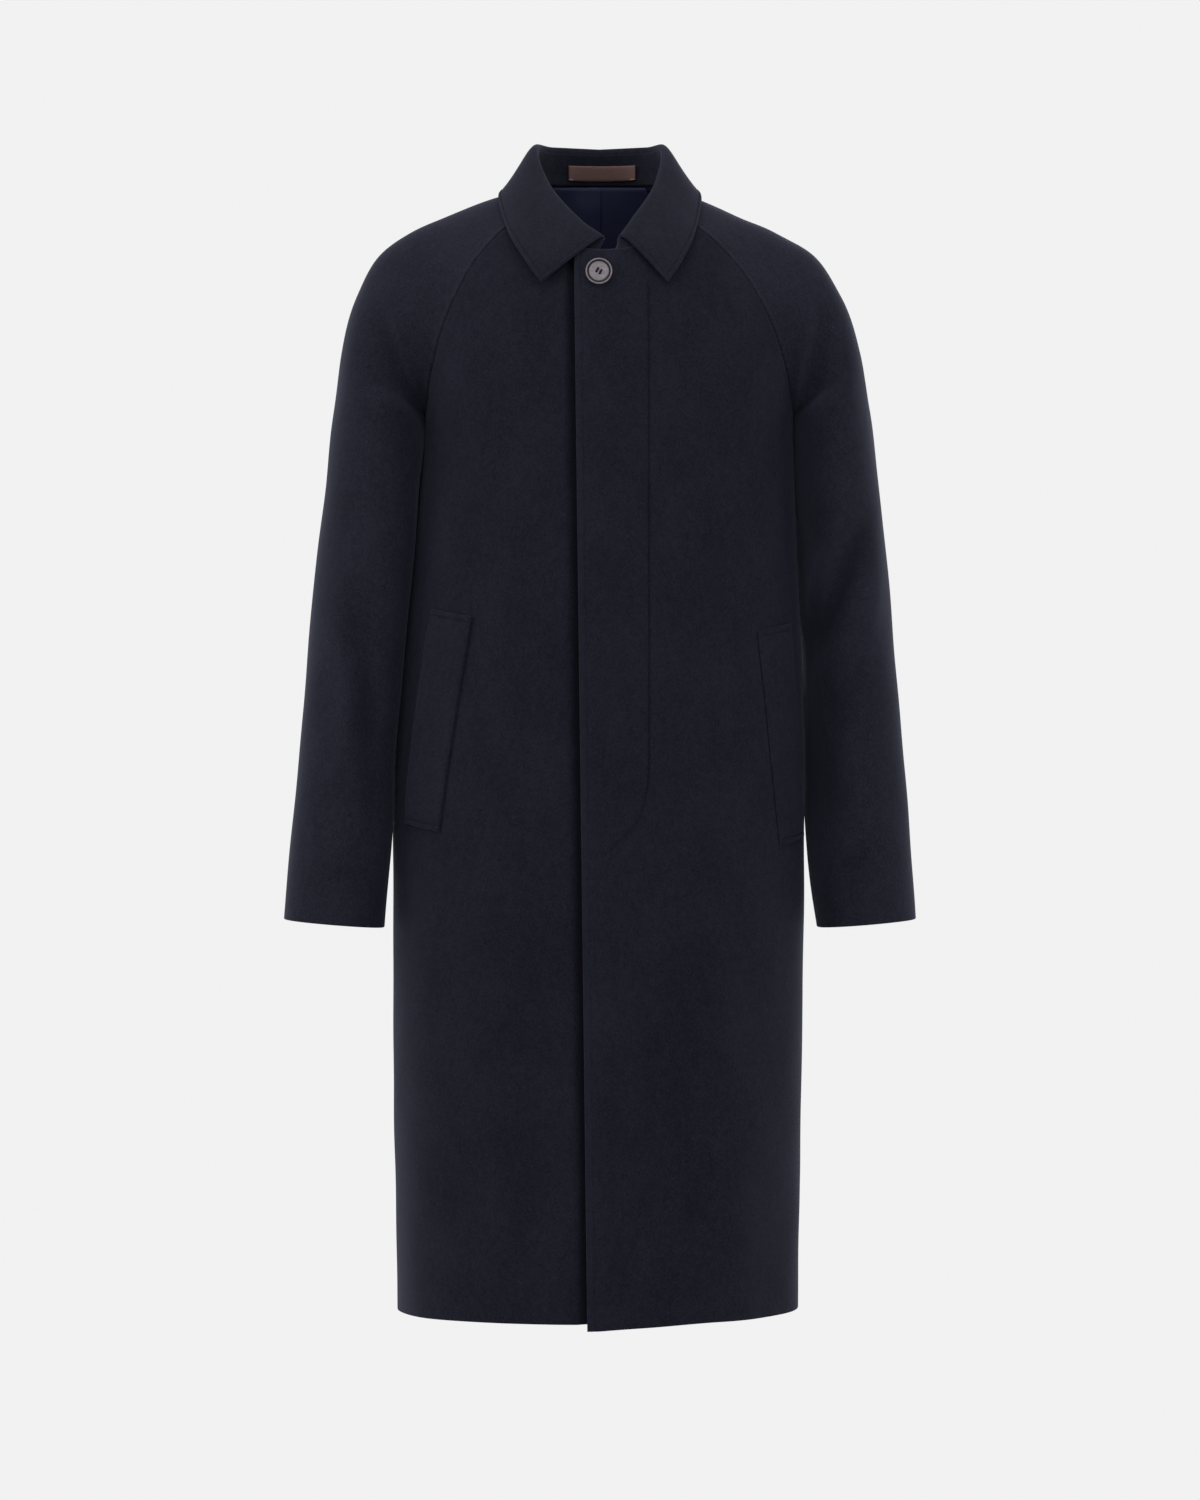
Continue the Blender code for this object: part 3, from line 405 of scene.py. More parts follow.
def grooved(grooves: Sequence[Groove], distance: Array) -> Array:
    """How far cloth stands proud at distances from a line, as a sum of bells."""
    return sum(row.height * bell(distance - row.inside, row.width) for row in grooves)


def power(value: Array, exponent: float) -> Array:
    """A power that keeps the sign of its base."""
    return np.sign(value) * np.abs(value) ** exponent


def bezier(a: Array, b: Array, c: Array, d: Array, t: Array) -> Array:
    """Cubic curves with ends a and d and handles b and c, one line for each row of points."""
    t = t[None, :, None]
    a, b, c, d = (point[:, None, :] for point in (a, b, c, d))
    return a * (1 - t) ** 3 + 3 * b * t * (1 - t) ** 2 + 3 * c * t * t * (1 - t) + d * t**3


def run_lengths(lines: Array) -> Array:
    """Length run along each line up to each of its points."""
    step = np.linalg.norm(np.diff(lines, axis=1), axis=2)
    return np.concatenate([np.zeros((len(lines), 1)), np.cumsum(step, axis=1)], axis=1)


def down_lengths(grid: Array) -> Array:
    """Length run down each column of a grid up to each of its points."""
    return run_lengths(grid.transpose(1, 0, 2)).T


def at_runs(lines: Array, runs: Array, row: Array, wanted: Array) -> Array:
    """Values of chosen lines where a wanted length has been run along them.

    All lines are searched at once: each is shifted past the one before it, so one sorted search finds
    the stretch that holds each wanted length, and the value is read off that straight stretch.

    Args:
        lines: values of each line's points.
        runs: length run along each line.
        row: which line each wanted length is on.
        wanted: the lengths.
    Returns:
        Values of the same shape as wanted, with the lines' components last.
    """
    shift = 2 * max(float(runs.max()), float(np.max(wanted)), 1e-9)
    flat = (runs + np.arange(len(runs))[:, None] * shift).ravel()
    wanted = np.clip(wanted, 0, runs[row, -1])
    found = np.searchsorted(flat, (wanted + row * shift).ravel(), side="right").reshape(wanted.shape)
    index = np.clip(found - 1 - row * runs.shape[1], 0, runs.shape[1] - 2)
    low, high = runs[row, index], runs[row, index + 1]
    t = ((wanted - low) / np.maximum(high - low, 1e-12))[..., None]
    return lines[row, index] * (1 - t) + lines[row, index + 1] * t


def respaced(lines: Array, shares: Array) -> Array:
    """Each line with its points at shares of its length; shares is one row for all, or a row for each."""
    runs = run_lengths(lines)
    wanted = np.broadcast_to(shares, (len(lines), np.shape(shares)[-1])) * runs[:, -1:]
    row = np.broadcast_to(np.arange(len(lines))[:, None], wanted.shape)
    return at_runs(lines, runs, row, wanted)


def at_x(lines: Array, wanted: Array, *values: Array) -> list[Array]:
    """Values of lines where x, which rises along each of them, has wanted values.

    Args:
        lines: (rows, points, 3) places.
        wanted: (rows, count) values of x.
        values: what is given at the lines' points.
    Returns:
        Each of the values at the wanted places.
    """
    runs = lines[..., 0] - lines[..., 0].min() + X_MARGIN
    places = wanted - lines[..., 0].min() + X_MARGIN
    row = np.broadcast_to(np.arange(len(lines))[:, None], wanted.shape)
    return [at_runs(value, runs, row, places) for value in values]


def spread(count: int, pull: float) -> Array:
    """Shares from 0 to 1, closer together at both ends: s less pull times a sine of one turn."""
    s = np.linspace(0, 1, count)
    return s - pull * np.sin(2 * np.pi * s) / (2 * np.pi)


def half_spread(count: int, pull: float) -> Array:
    """Shares from 0 to 1, closer together at the far end alone."""
    shares = spread(2 * count, pull)[count:]
    return (shares - shares[0]) / (1 - shares[0])


def foot_shares(count: int, length: float) -> Array:
    """Shares of a length, even and then closer together in the last few millimetres."""
    close = np.array(FOOT_STEPS) / length
    return np.concatenate([np.linspace(0, 1 - FOOT_STARTS / length, count), 1 - close])


def path_distance(places: Array, path: Sequence[tuple[float, float]]) -> tuple[Array, Array]:
    """Distance of places to a smooth path in a plane.

    The path's points are joined by a smooth curve that is cut into short straight stretches, and the
    least of the distances to them is kept.

    Args:
        places: (n, 2) places.
        path: points of the path.
    Returns:
        The distances, and the share of the path at which the nearest point lies.
    """
    points = smooth(np.arange(len(path)), np.array(path), np.linspace(0, len(path) - 1, 6 * len(path) - 5))
    start, line = points[:-1], np.diff(points, axis=0)
    away = places[:, None, :] - start
    along = np.clip((away * line).sum(-1) / (line * line).sum(-1), 0, 1)
    gap = np.linalg.norm(away - along[..., None] * line, axis=-1)
    nearest = gap.argmin(axis=1)
    row = np.arange(len(places))
    return gap[row, nearest], (nearest + along[row, nearest]) / len(line)


def quad_normals(grid: Array, outward: Array) -> Array:
    """Each quad's normal times its area, the cross product of its diagonals, turned outward."""
    across = grid[1:, 1:] - grid[:-1, :-1]
    down = grid[1:, :-1] - grid[:-1, 1:]
    normal = np.cross(across, down) / 2
    return normal if float(normal.sum(axis=(0, 1)) @ outward) > 0 else -normal


def shared_normals(grids: dict[str, Array], outward: dict[str, Array]) -> dict[str, Array]:
    """Normals of all grids, with one normal where points of several panels meet at a seam.

    Args:
        grids: the panels' points.
        outward: the rough way that each panel faces.
    Returns:
        A grid of unit normals for each panel.
    """
    keys = [np.round(grid * 1e5).astype(np.int64).reshape(-1, 3) for grid in grids.values()]
    _, index = np.unique(np.concatenate(keys), axis=0, return_inverse=True)
    index = index.reshape(-1)
    total = np.zeros((index.max() + 1, 3))
    first, places = 0, {}
    for name, grid in grids.items():
        count = grid.shape[0] * grid.shape[1]
        places[name] = index[first : first + count].reshape(grid.shape[:2])
        first += count
        normal = quad_normals(grid, outward[name])
        for rows in (slice(0, -1), slice(1, None)):
            for columns in (slice(0, -1), slice(1, None)):
                np.add.at(total, places[name][rows, columns], normal)
    total /= np.maximum(np.linalg.norm(total, axis=1, keepdims=True), 1e-15)
    return {name: total[place] for name, place in places.items()}


def own_normals(grid: Array, outward: Array) -> Array:
    """Unit normals of one grid by itself."""
    return shared_normals({"grid": grid}, {"grid": outward})["grid"]


def half_round(distance: Array, thickness: float) -> Array:
    """How far a skin draws in towards the wall's middle near a turned edge, as a quarter circle."""
    radius = thickness / 2
    left = np.clip(radius - distance, 0, radius)
    return radius - np.sqrt(np.maximum(radius**2 - left**2, 0))


def cloth_sides(grid: Array, normals: Array, proud: Array, inset: Array, cloth: float) -> tuple[Array, Array]:
    """Both sides of a cloth wall, from how proud its skin stands and how far its edges draw in."""
    return grid + normals * (proud - inset)[..., None], grid - normals * (cloth - inset)[..., None]


def linked(name: str, data: Any) -> bpy.types.Object:
    """A new object of some data, in the scene."""
    made = bpy.data.objects.new(name, data)
    bpy.context.scene.collection.objects.link(made)
    return made


def new_object(name: str, points: Array, quads: Array, finish: bpy.types.Material) -> bpy.types.Object:
    """A smooth-shaded mesh object at the origin.

    Args:
        name: the piece's name.
        points: (n, 3) places.
        quads: (m, 4) corner numbers, facing out.
        finish: its material.
    Returns:
        The new object.
    """
    mesh = bpy.data.meshes.new(name)
    mesh.vertices.add(len(points))
    mesh.vertices.foreach_set("co", np.ascontiguousarray(points, np.float32).ravel())
    mesh.loops.add(quads.size)
    mesh.loops.foreach_set("vertex_index", np.ascontiguousarray(quads, np.int32).ravel())
    mesh.polygons.add(len(quads))
    mesh.polygons.foreach_set("loop_start", np.arange(0, quads.size, 4, dtype=np.int32))
    mesh.polygons.foreach_set("use_smooth", np.ones(len(quads), bool))
    mesh.update(calc_edges=True)
    mesh.materials.append(finish)
    LOG.info("%s: %d points, %d faces", name, len(points), len(quads))
    return linked(name, mesh)


def grid_quads(rows: int, columns: int) -> Array:
    """Corner numbers of the quads of a grid."""
    index = np.arange(rows * columns).reshape(rows, columns)
    corners = [index[:-1, :-1], index[:-1, 1:], index[1:, 1:], index[1:, :-1]]
    return np.stack(corners, axis=-1).reshape(-1, 4)


def cloth_shell(
    name: str, skin: Array, under: Array, finish: bpy.types.Material, relief: Optional[Array] = None
) -> bpy.types.Object:
    """A closed cloth wall between two grids of the same size, with its rim.

    Args:
        name: the piece's name.
        skin: grid of the side that shows.
        under: grid of the other side.
        finish: its material.
        relief: painted shade and highlight for the wool to read in millimetres: how far each point of the
            skin stands proud, less any painted shade of creases and gaps.
    Returns:
        The new object.
    """
    rows, columns = skin.shape[:2]
    size = rows * columns
    index = np.arange(size).reshape(rows, columns)
    quads = grid_quads(rows, columns)
    rim = np.concatenate([index[0, :-1], index[:-1, -1], index[-1, :0:-1], index[:0:-1, 0]])
    after = np.roll(rim, -1)
    sides = np.stack([after, rim, rim + size, after + size], axis=-1)
    faces = np.concatenate([quads, quads[:, ::-1] + size, sides])
    diagonals = np.cross(skin[1:, 1:] - skin[:-1, :-1], skin[1:, :-1] - skin[:-1, 1:])
    # The first corner order turns clockwise seen from outside where this product is positive.
    if float((diagonals * (skin - under)[:-1, :-1]).sum()) < 0:
        faces = faces[:, ::-1]
    points = np.concatenate([skin.reshape(-1, 3), under.reshape(-1, 3)])
    made = new_object(name, points, faces, finish)
    stored = made.data.attributes.new("relief", "FLOAT", "POINT")
    values = np.zeros(2 * size, np.float32)
    if relief is not None:
        values[:size] = relief.ravel() * MILLIMETRES
    stored.data.foreach_set("value", values)
    return made


def cut_of(grid: Array) -> Cut:
    """The flat size of a sheet, measured along the cloth: its longest row, longest column and area."""
    width = float(run_lengths(grid)[:, -1].max())
    length = float(down_lengths(grid)[-1].max())
    area = float(np.linalg.norm(quad_normals(grid, UP), axis=-1).sum())
    return Cut(round(width, 4), round(length, 4), round(area, 5))


def dress(piece: bpy.types.Object, node: str = "", cut: Optional[Cut] = None) -> None:
    """Ties a piece to the coat's one body, hides the CAD part that it stands for, and logs its flat size.

    Args:
        piece: the object.
        node: the CAD node that it stands for, if any.
        cut: its flat size, if it is a sheet of cloth.
    """
    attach(piece, "root")
    if node:
        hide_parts(node)
    if cut:
        LOG.info("%s: cut %.3f x %.3f m, %.4f square metres", piece.name, cut.width, cut.length, cut.area)


class Value:
    """A shader socket that takes part in arithmetic: each operator adds one Math node."""

    def __init__(self, nodes: "FinishNodes", socket: bpy.types.NodeSocket) -> None:
        """Keeps the socket and the nodes that it belongs to."""
        self.nodes = nodes
        self.socket = socket

    def _math(self, operation: str, first: Any, second: Any) -> "Value":
        """The result of one Math node."""
        made = self.nodes.add("ShaderNodeMath", {0: first, 1: second}, operation=operation)
        return Value(self.nodes, made.outputs[0])

    def __add__(self, other: Any) -> "Value":
        """Sum."""
        return self._math("ADD", self, other)

    def __sub__(self, other: Any) -> "Value":
        """Difference."""
        return self._math("SUBTRACT", self, other)

    def __rsub__(self, other: Any) -> "Value":
        """Difference from a number."""
        return self._math("SUBTRACT", other, self)

    def __mul__(self, other: Any) -> "Value":
        """Product."""
        return self._math("MULTIPLY", self, other)

    __radd__ = __add__
    __rmul__ = __mul__

    def clamped(self) -> "Value":
        """The value held between 0 and 1."""
        made = self.nodes.add("ShaderNodeMath", {0: self, 1: 0.0}, operation="ADD", use_clamp=True)
        return Value(self.nodes, made.outputs[0])


class FinishNodes:
    """The nodes of one material."""

    def __init__(self, name: str) -> None:
        """Starts a material that holds only its output."""
        self.material = bpy.data.materials.new(name)
        self.material.use_nodes = True
        self.tree = self.material.node_tree
        self.tree.nodes.clear()

    def add(self, kind: str, inputs: dict[Any, Any], **settings: Any) -> bpy.types.Node:
        """Adds a node.

        Args:
            kind: the node's type.
            inputs: values or links of its sockets, by name or number.
            settings: the node's own settings, which are set first.
        Returns:
            The node.
        """
        made = self.tree.nodes.new(kind)
        for name, value in settings.items():
            setattr(made, name, value)
        for key, value in inputs.items():
            if isinstance(value, Value):
                self.tree.links.new(value.socket, made.inputs[key])
            elif isinstance(value, bpy.types.NodeSocket):
                self.tree.links.new(value, made.inputs[key])
            else:
                made.inputs[key].default_value = value
        return made

    def noise(self, grain: Grain) -> Value:
        """Soft random values round one half, on stretched Object coordinates."""
        source = self.add("ShaderNodeTexCoord", {}).outputs["Object"]
        place = self.add("ShaderNodeMapping", {"Vector": source, "Scale": grain.stretch}).outputs[0]
        inputs = {"Vector": place, "Scale": grain.scale, "Detail": grain.detail}
        return Value(self, self.add("ShaderNodeTexNoise", inputs).outputs[0])

    def attribute(self, name: str) -> Value:
        """A number stored on the mesh's points."""
        return Value(self, self.add("ShaderNodeAttribute", {}, attribute_name=name).outputs["Fac"])

    def mix(self, share: Value, low: Any, high: Any) -> bpy.types.NodeSocket:
        """A colour between two colours, each given as three numbers or as a socket."""
        ends = [(*end, 1.0) if isinstance(end, tuple) else end for end in (low, high)]
        return self.add("ShaderNodeMix", {0: share, 6: ends[0], 7: ends[1]}, data_type="RGBA").outputs[2]

    def bump(self, height: Value, distance: float, strength: float) -> bpy.types.NodeSocket:
        """A normal tilted by a height."""
        inputs = {"Height": height, "Distance": distance, "Strength": strength}
        return self.add("ShaderNodeBump", inputs).outputs[0]

    def surface(self, **inputs: Any) -> bpy.types.Material:
        """Ends the material in a Principled shader, with words of its sockets joined by underlines."""
        named = {key.replace("_", " "): value for key, value in inputs.items()}
        shader = self.add("ShaderNodeBsdfPrincipled", named)
        self.add("ShaderNodeOutputMaterial", {"Surface": shader.outputs[0]})
        return self.material


@dataclass(frozen=True)
class Finish:
    """A surface whose two colours, roughness and fine bumps all follow the same noises; wool also takes
    painted shade from its stored relief.
    """

    grains: tuple[Grain, ...]
    tone: float
    rough: float
    specular: float
    bump_depth: float
    bump_strength: float
    painted_shade_gain: float = 0.0
    sheen: float = 0.0
    sheen_rough: float = 0.0
    sheen_tint: Colour = (1.0, 1.0, 1.0)
    ring: Optional[Colour] = None

    def material(self, name: str, shade: Colour, light: Colour) -> bpy.types.Material:
        """Makes a material: the noises mix two colours, and the cloth's stored relief adds painted shade and
        highlight to them.

        Args:
            name: its name.
            shade: the colour where the tone is low.
            light: the colour where the tone is high.
        Returns:
            The material.
        """
        nodes = FinishNodes(name)
        noises = [(nodes.noise(grain), grain) for grain in self.grains]
        tone = sum(noise * grain.tone for noise, grain in noises) + self.tone
        if self.painted_shade_gain:
            # Painted shade and highlight: the stored relief darkens grooves, creases and gaps and lightens
            # raised cloth
            tone = tone + nodes.attribute("relief") * self.painted_shade_gain
        colour = nodes.mix(tone.clamped(), shade, light)
        # Painted shade: a dark ring in the button's groove
        if self.ring:
            colour = nodes.mix(nodes.attribute("ring").clamped(), colour, self.ring)
        rough = sum(noise * grain.rough for noise, grain in noises if grain.rough) + self.rough
        height = sum(noise * grain.height for noise, grain in noises if grain.height)
        return nodes.surface(
            Base_Color=colour,
            Roughness=rough.clamped(),
            Specular_IOR_Level=self.specular,
            Sheen_Weight=self.sheen,
            Sheen_Roughness=self.sheen_rough,
            Sheen_Tint=(*self.sheen_tint, 1.0),
            Normal=nodes.bump(height, self.bump_depth, self.bump_strength),
        )


# Brushed wool: grain, a nap that runs down the cloth, flecks, slow mottling and a pale bloom at the rim
WOOL = Finish(
    (
        Grain(560.0, 3.0, EVEN, 2.0, 0.2, 0.6),
        Grain(1300.0, 2.0, (1.0, 1.0, 0.25), 1.1, 0.0, 0.4),
        Grain(170.0, 2.0, (1.0, 1.0, 0.7), 0.7),
        Grain(26.0, 3.0, (1.0, 1.0, 0.6), 0.8),
    ),
    tone=-1.8,
    rough=0.76,
    specular=0.06,
    bump_depth=0.0006,
    bump_strength=0.55,
    # Painted shade and highlight from the cloth's stored relief
    painted_shade_gain=0.30,
    sheen=0.09,
    sheen_rough=0.42,
    sheen_tint=(0.62, 0.68, 0.95),
)
# Satin: fine threads and an uneven shine
SATIN = Finish(
    (Grain(2600.0, 1.0, (1.0, 1.0, 0.12), 0.5, 0.0, 1.0), Grain(40.0, 2.0, EVEN, 0.6, 0.2)),
    tone=-0.05,
    rough=0.50,
    specular=0.22,
    bump_depth=0.0002,
    bump_strength=0.3,
    sheen=0.05,
    sheen_rough=0.3,
)
# Bare woven label: warp and weft
WEAVE = Finish(
    (
        Grain(2200.0, 1.0, (1.0, 1.0, 0.08), 0.6, 0.0, 0.5),
        Grain(2600.0, 1.0, (0.06, 1.0, 1.0), 0.6, 0.2, 0.5),
    ),
    tone=-0.1,
    rough=0.55,
    specular=0.3,
    bump_depth=0.0003,
    bump_strength=0.5,
)
# Horn: streaks, a fine grain and a dark ring of painted shade in the groove
HORN = Finish(
    (Grain(130.0, 4.0, (1.0, 1.0, 3.2), 1.3, 0.0, 1.0), Grain(900.0, 2.0, EVEN, 0.3, 0.14)),
    tone=-0.35,
    rough=0.42,
    specular=0.3,
    bump_depth=0.0002,
    bump_strength=0.2,
    ring=(0.012, 0.012, 0.017),
)
# Twisted sewing thread
THREAD = Finish(
    (Grain(3000.0, 1.0, EVEN, 1.0, 0.2, 1.0),),
    tone=0.0,
    rough=0.5,
    specular=0.10,
    bump_depth=0.0002,
    bump_strength=0.4,
)
# The collar and sleeve wool are lighter copies of the body's wool: painted light
WOOL_COLOURS = {
    "navy_wool": ((0.0050, 0.0050, 0.0094), (0.0121, 0.0121, 0.0208)),
    "navy_collar_wool": ((0.0061, 0.0061, 0.0107), (0.0132, 0.0132, 0.0219)),
    "navy_sleeve_wool": ((0.0068, 0.0068, 0.0122), (0.0152, 0.0152, 0.0252)),
}
THREAD_COLOURS = {
    "navy_thread": ((0.004, 0.004, 0.007), (0.010, 0.010, 0.016)),
    "black_thread": ((0.002, 0.002, 0.003), (0.006, 0.006, 0.008)),
    "pale_thread": ((0.30, 0.26, 0.24), (0.50, 0.46, 0.44)),
}
SATIN_COLOURS = ((0.0105, 0.0125, 0.0370), (0.0195, 0.0240, 0.0660))
WEAVE_COLOURS = ((0.066, 0.034, 0.030), (0.136, 0.078, 0.069))
HORN_COLOURS = ((0.105, 0.092, 0.104), (0.250, 0.225, 0.250))


@dataclass(frozen=True)
class Trunk:
    """The coat's body below the raglan seams, as rounded-off ellipses."""

    rows: tuple[BodyRow, ...] = BODY
    boxiness: float = 0.90
    drop_span: float = 0.36
    drop_power: float = 1.5

    def at(self, z: Array, column: str) -> Array:
        """One column of the trunk's table at heights of any shape."""
        table = np.array(self.rows)
        z = np.asarray(z, float)
        found = smooth(-table[:, 0], table[:, BodyRow._fields.index(column)], -z.ravel())
        return found[:, 0].reshape(z.shape)

    def arcs(
        self, side: Side, ends: Array, middle_z: Array, depth: Array, start_x: Array, drop: Array
    ) -> Array:
        """Half sections from a place on the front or back out to the seam, a line for each row.

        x is the half width times a power of the angle's sine and y is the depth times a power of its
        cosine, with the angle chosen so that the line ends on the seam. Height runs from the middle's
        to the seam's with the square of the angle. A drop lowers the part near the centre.

        Args:
            side: the side that the sections run to.
            ends: seam points.
            middle_z: heights at the centre line.
            depth: signed depths at the centre line.
            start_x: where the sections start; past the centre makes an overlap.
            drop: how far the centre is lowered.
        Returns:
            (rows, DENSE, 3) points.
        """
        sign, box = side.value, self.boxiness
        centre, seam_centre = self.at(middle_z, "lean"), self.at(ends[:, 2], "lean")
        reach = sign * (ends[:, 0] - seam_centre)
        last = np.arccos(np.clip(ends[:, 1] / depth, 0, 1) ** (1 / box))
        half_width = reach / np.sin(last) ** box
        first = np.arcsin(power(sign * (start_x - centre) / half_width, 1 / box))
        angle = first[:, None] + (last - first)[:, None] * np.linspace(0, 1, DENSE)
        progress = angle / last[:, None]
        near = np.clip(1 - progress / self.drop_span, 0, 1)
        middle = centre[:, None] + (seam_centre - centre)[:, None] * np.clip(progress, 0, 1)
        rise = (ends[:, 2] - middle_z)[:, None] * progress**2
        x = middle + sign * half_width[:, None] * power(np.sin(angle), box)
        y = depth[:, None] * power(np.cos(angle), box)
        z = middle_z[:, None] + rise - drop[:, None] * near**self.drop_power
        arcs = np.stack([x, y, z], axis=-1)
        arcs[:, -1] = ends
        return arcs


@dataclass(frozen=True)
class RaglanSleeve:
    """One raglan sleeve: a front and a back half that meet over the shoulder and under the arm."""

    side: Side
    trunk: Trunk
    cap_rows: int = 84
    tube_rows: int = 118
    columns: int = 60
    column_pull: float = 0.80
    tube_length: float = 0.48
    clear: float = 0.0014
    clear_ease: float = 0.0010
    clear_starts: float = 0.015

    def heading(self, towards: int, swing: float, lift: float) -> Array:
        """The way in which a section leaves its seam: swing turns it round and lift raises it."""
        turn, rise = math.radians(swing), math.radians(lift)
        level = math.cos(rise)
        x, y = self.side.value * math.cos(turn) * level, towards * math.sin(turn) * level
        return np.array([x, y, math.sin(rise)])

    def cap_station(self, front: SeamRow, back: SeamRow, crown: CrownRow) -> list[Array]:
        """Seven points that steer a section above the underarm, from front seam to back seam."""
        sign = self.side.value
        top = np.array([crown.left_x if sign > 0 else crown.right_x, crown.y, crown.z])
        ahead = np.array([float(self.trunk.at(front.z, "lean")) + sign * front.x, front.y, front.z])
        behind = np.array([float(self.trunk.at(back.z, "lean")) + sign * back.x, back.y, back.z])
        along = np.array([0.0, 1.0, 0.0])
        return [
            ahead,
            ahead + self.heading(1, front.swing, front.lift) * front.seam_reach,
            top - along * front.crown_reach,
            top,
            top + along * back.crown_reach,
            behind + self.heading(-1, back.swing, back.lift) * back.seam_reach,
            behind,
        ]

    def ring_station(self, ring: RingRow) -> list[Array]:
        """The same seven points below the underarm, where both seams run down the inner arm."""
        word = self.side.word
        inner_y, y = getattr(ring, word + "_inner_y"), getattr(ring, word + "_y")
        inner = np.array([getattr(ring, word + "_inner"), inner_y, ring.inner_z])
        outer = np.array([getattr(ring, word + "_outer"), y, ring.outer_z])
        along = np.array([0.0, 4.0 / 3.0, 0.0])
        return [
            inner,
            inner - along * (ring.front + inner_y - y),
            outer - along * ring.front,
            outer,
            outer + along * ring.back,
            inner + along * (ring.back + y - inner_y),
            inner,
        ]

    def stations(self) -> Array:
        """Steering points of every row: those of the cap first, then those of the tube."""
        knots_at = [self.cap_station(*rows) for rows in zip(FRONT_SEAM, BACK_SEAM, CROWN)]
        knots_at += [self.ring_station(ring) for ring in RINGS]
        steer = np.array(knots_at)
        knots = run_lengths(steer[None, :, 3])[0]
        last_cap, last = len(CROWN) - 1, len(knots) - 1
        tube = last_cap + (last - last_cap) * foot_shares(self.tube_rows, self.tube_length)[1:]
        places = np.concatenate([np.linspace(0, last_cap, self.cap_rows), tube])
        found = smooth(knots, steer, np.interp(places, np.arange(last + 1), knots)).reshape(-1, 7, 3)
        found[self.cap_rows :, [0, 6]] = found[self.cap_rows :, [0, 6]].mean(axis=1, keepdims=True)
        return found

    def halves(self) -> tuple[Array, Array]:
        """Front half from seam to crown, and back half from crown to seam."""
        t = np.linspace(0, 1, DENSE)
        steer = self.stations().transpose(1, 0, 2)
        shares = spread(self.columns, self.column_pull)
        front = respaced(bezier(*steer[:4], t), shares)
        back = respaced(bezier(*steer[3:], t), shares)
        return self.pressed(front), self.pressed(back)

    def pressed(self, grid: Array) -> Array:
        """A half with its inner side pressed to just clear of the trunk below the underarm.

        The sideways distance is replaced by a soft maximum of itself and the trunk's own half width.
        """
        tube = grid[self.cap_rows :]
        y, z = tube[..., 1], tube[..., 2]
        depth = np.where(y < 0, self.trunk.at(z, "front"), self.trunk.at(z, "back"))
        share = np.clip(np.abs(y) / depth, 0, 1) ** (2 / self.trunk.boxiness)
        below = np.clip((FRONT_SEAM[-1].z - z) / self.clear_starts, 0, 1)
        width = self.trunk.at(z, "half_width") * (1 - share) ** (self.trunk.boxiness / 2)
        least = width + self.clear * below
        over = self.side.value * (tube[..., 0] - self.trunk.at(z, "lean")) - least
        eased = least + (over + np.sqrt(over**2 + (self.clear_ease * below) ** 2)) / 2
        made = grid.copy()
        made[self.cap_rows :, :, 0] = self.trunk.at(z, "lean") + self.side.value * eased
        return made


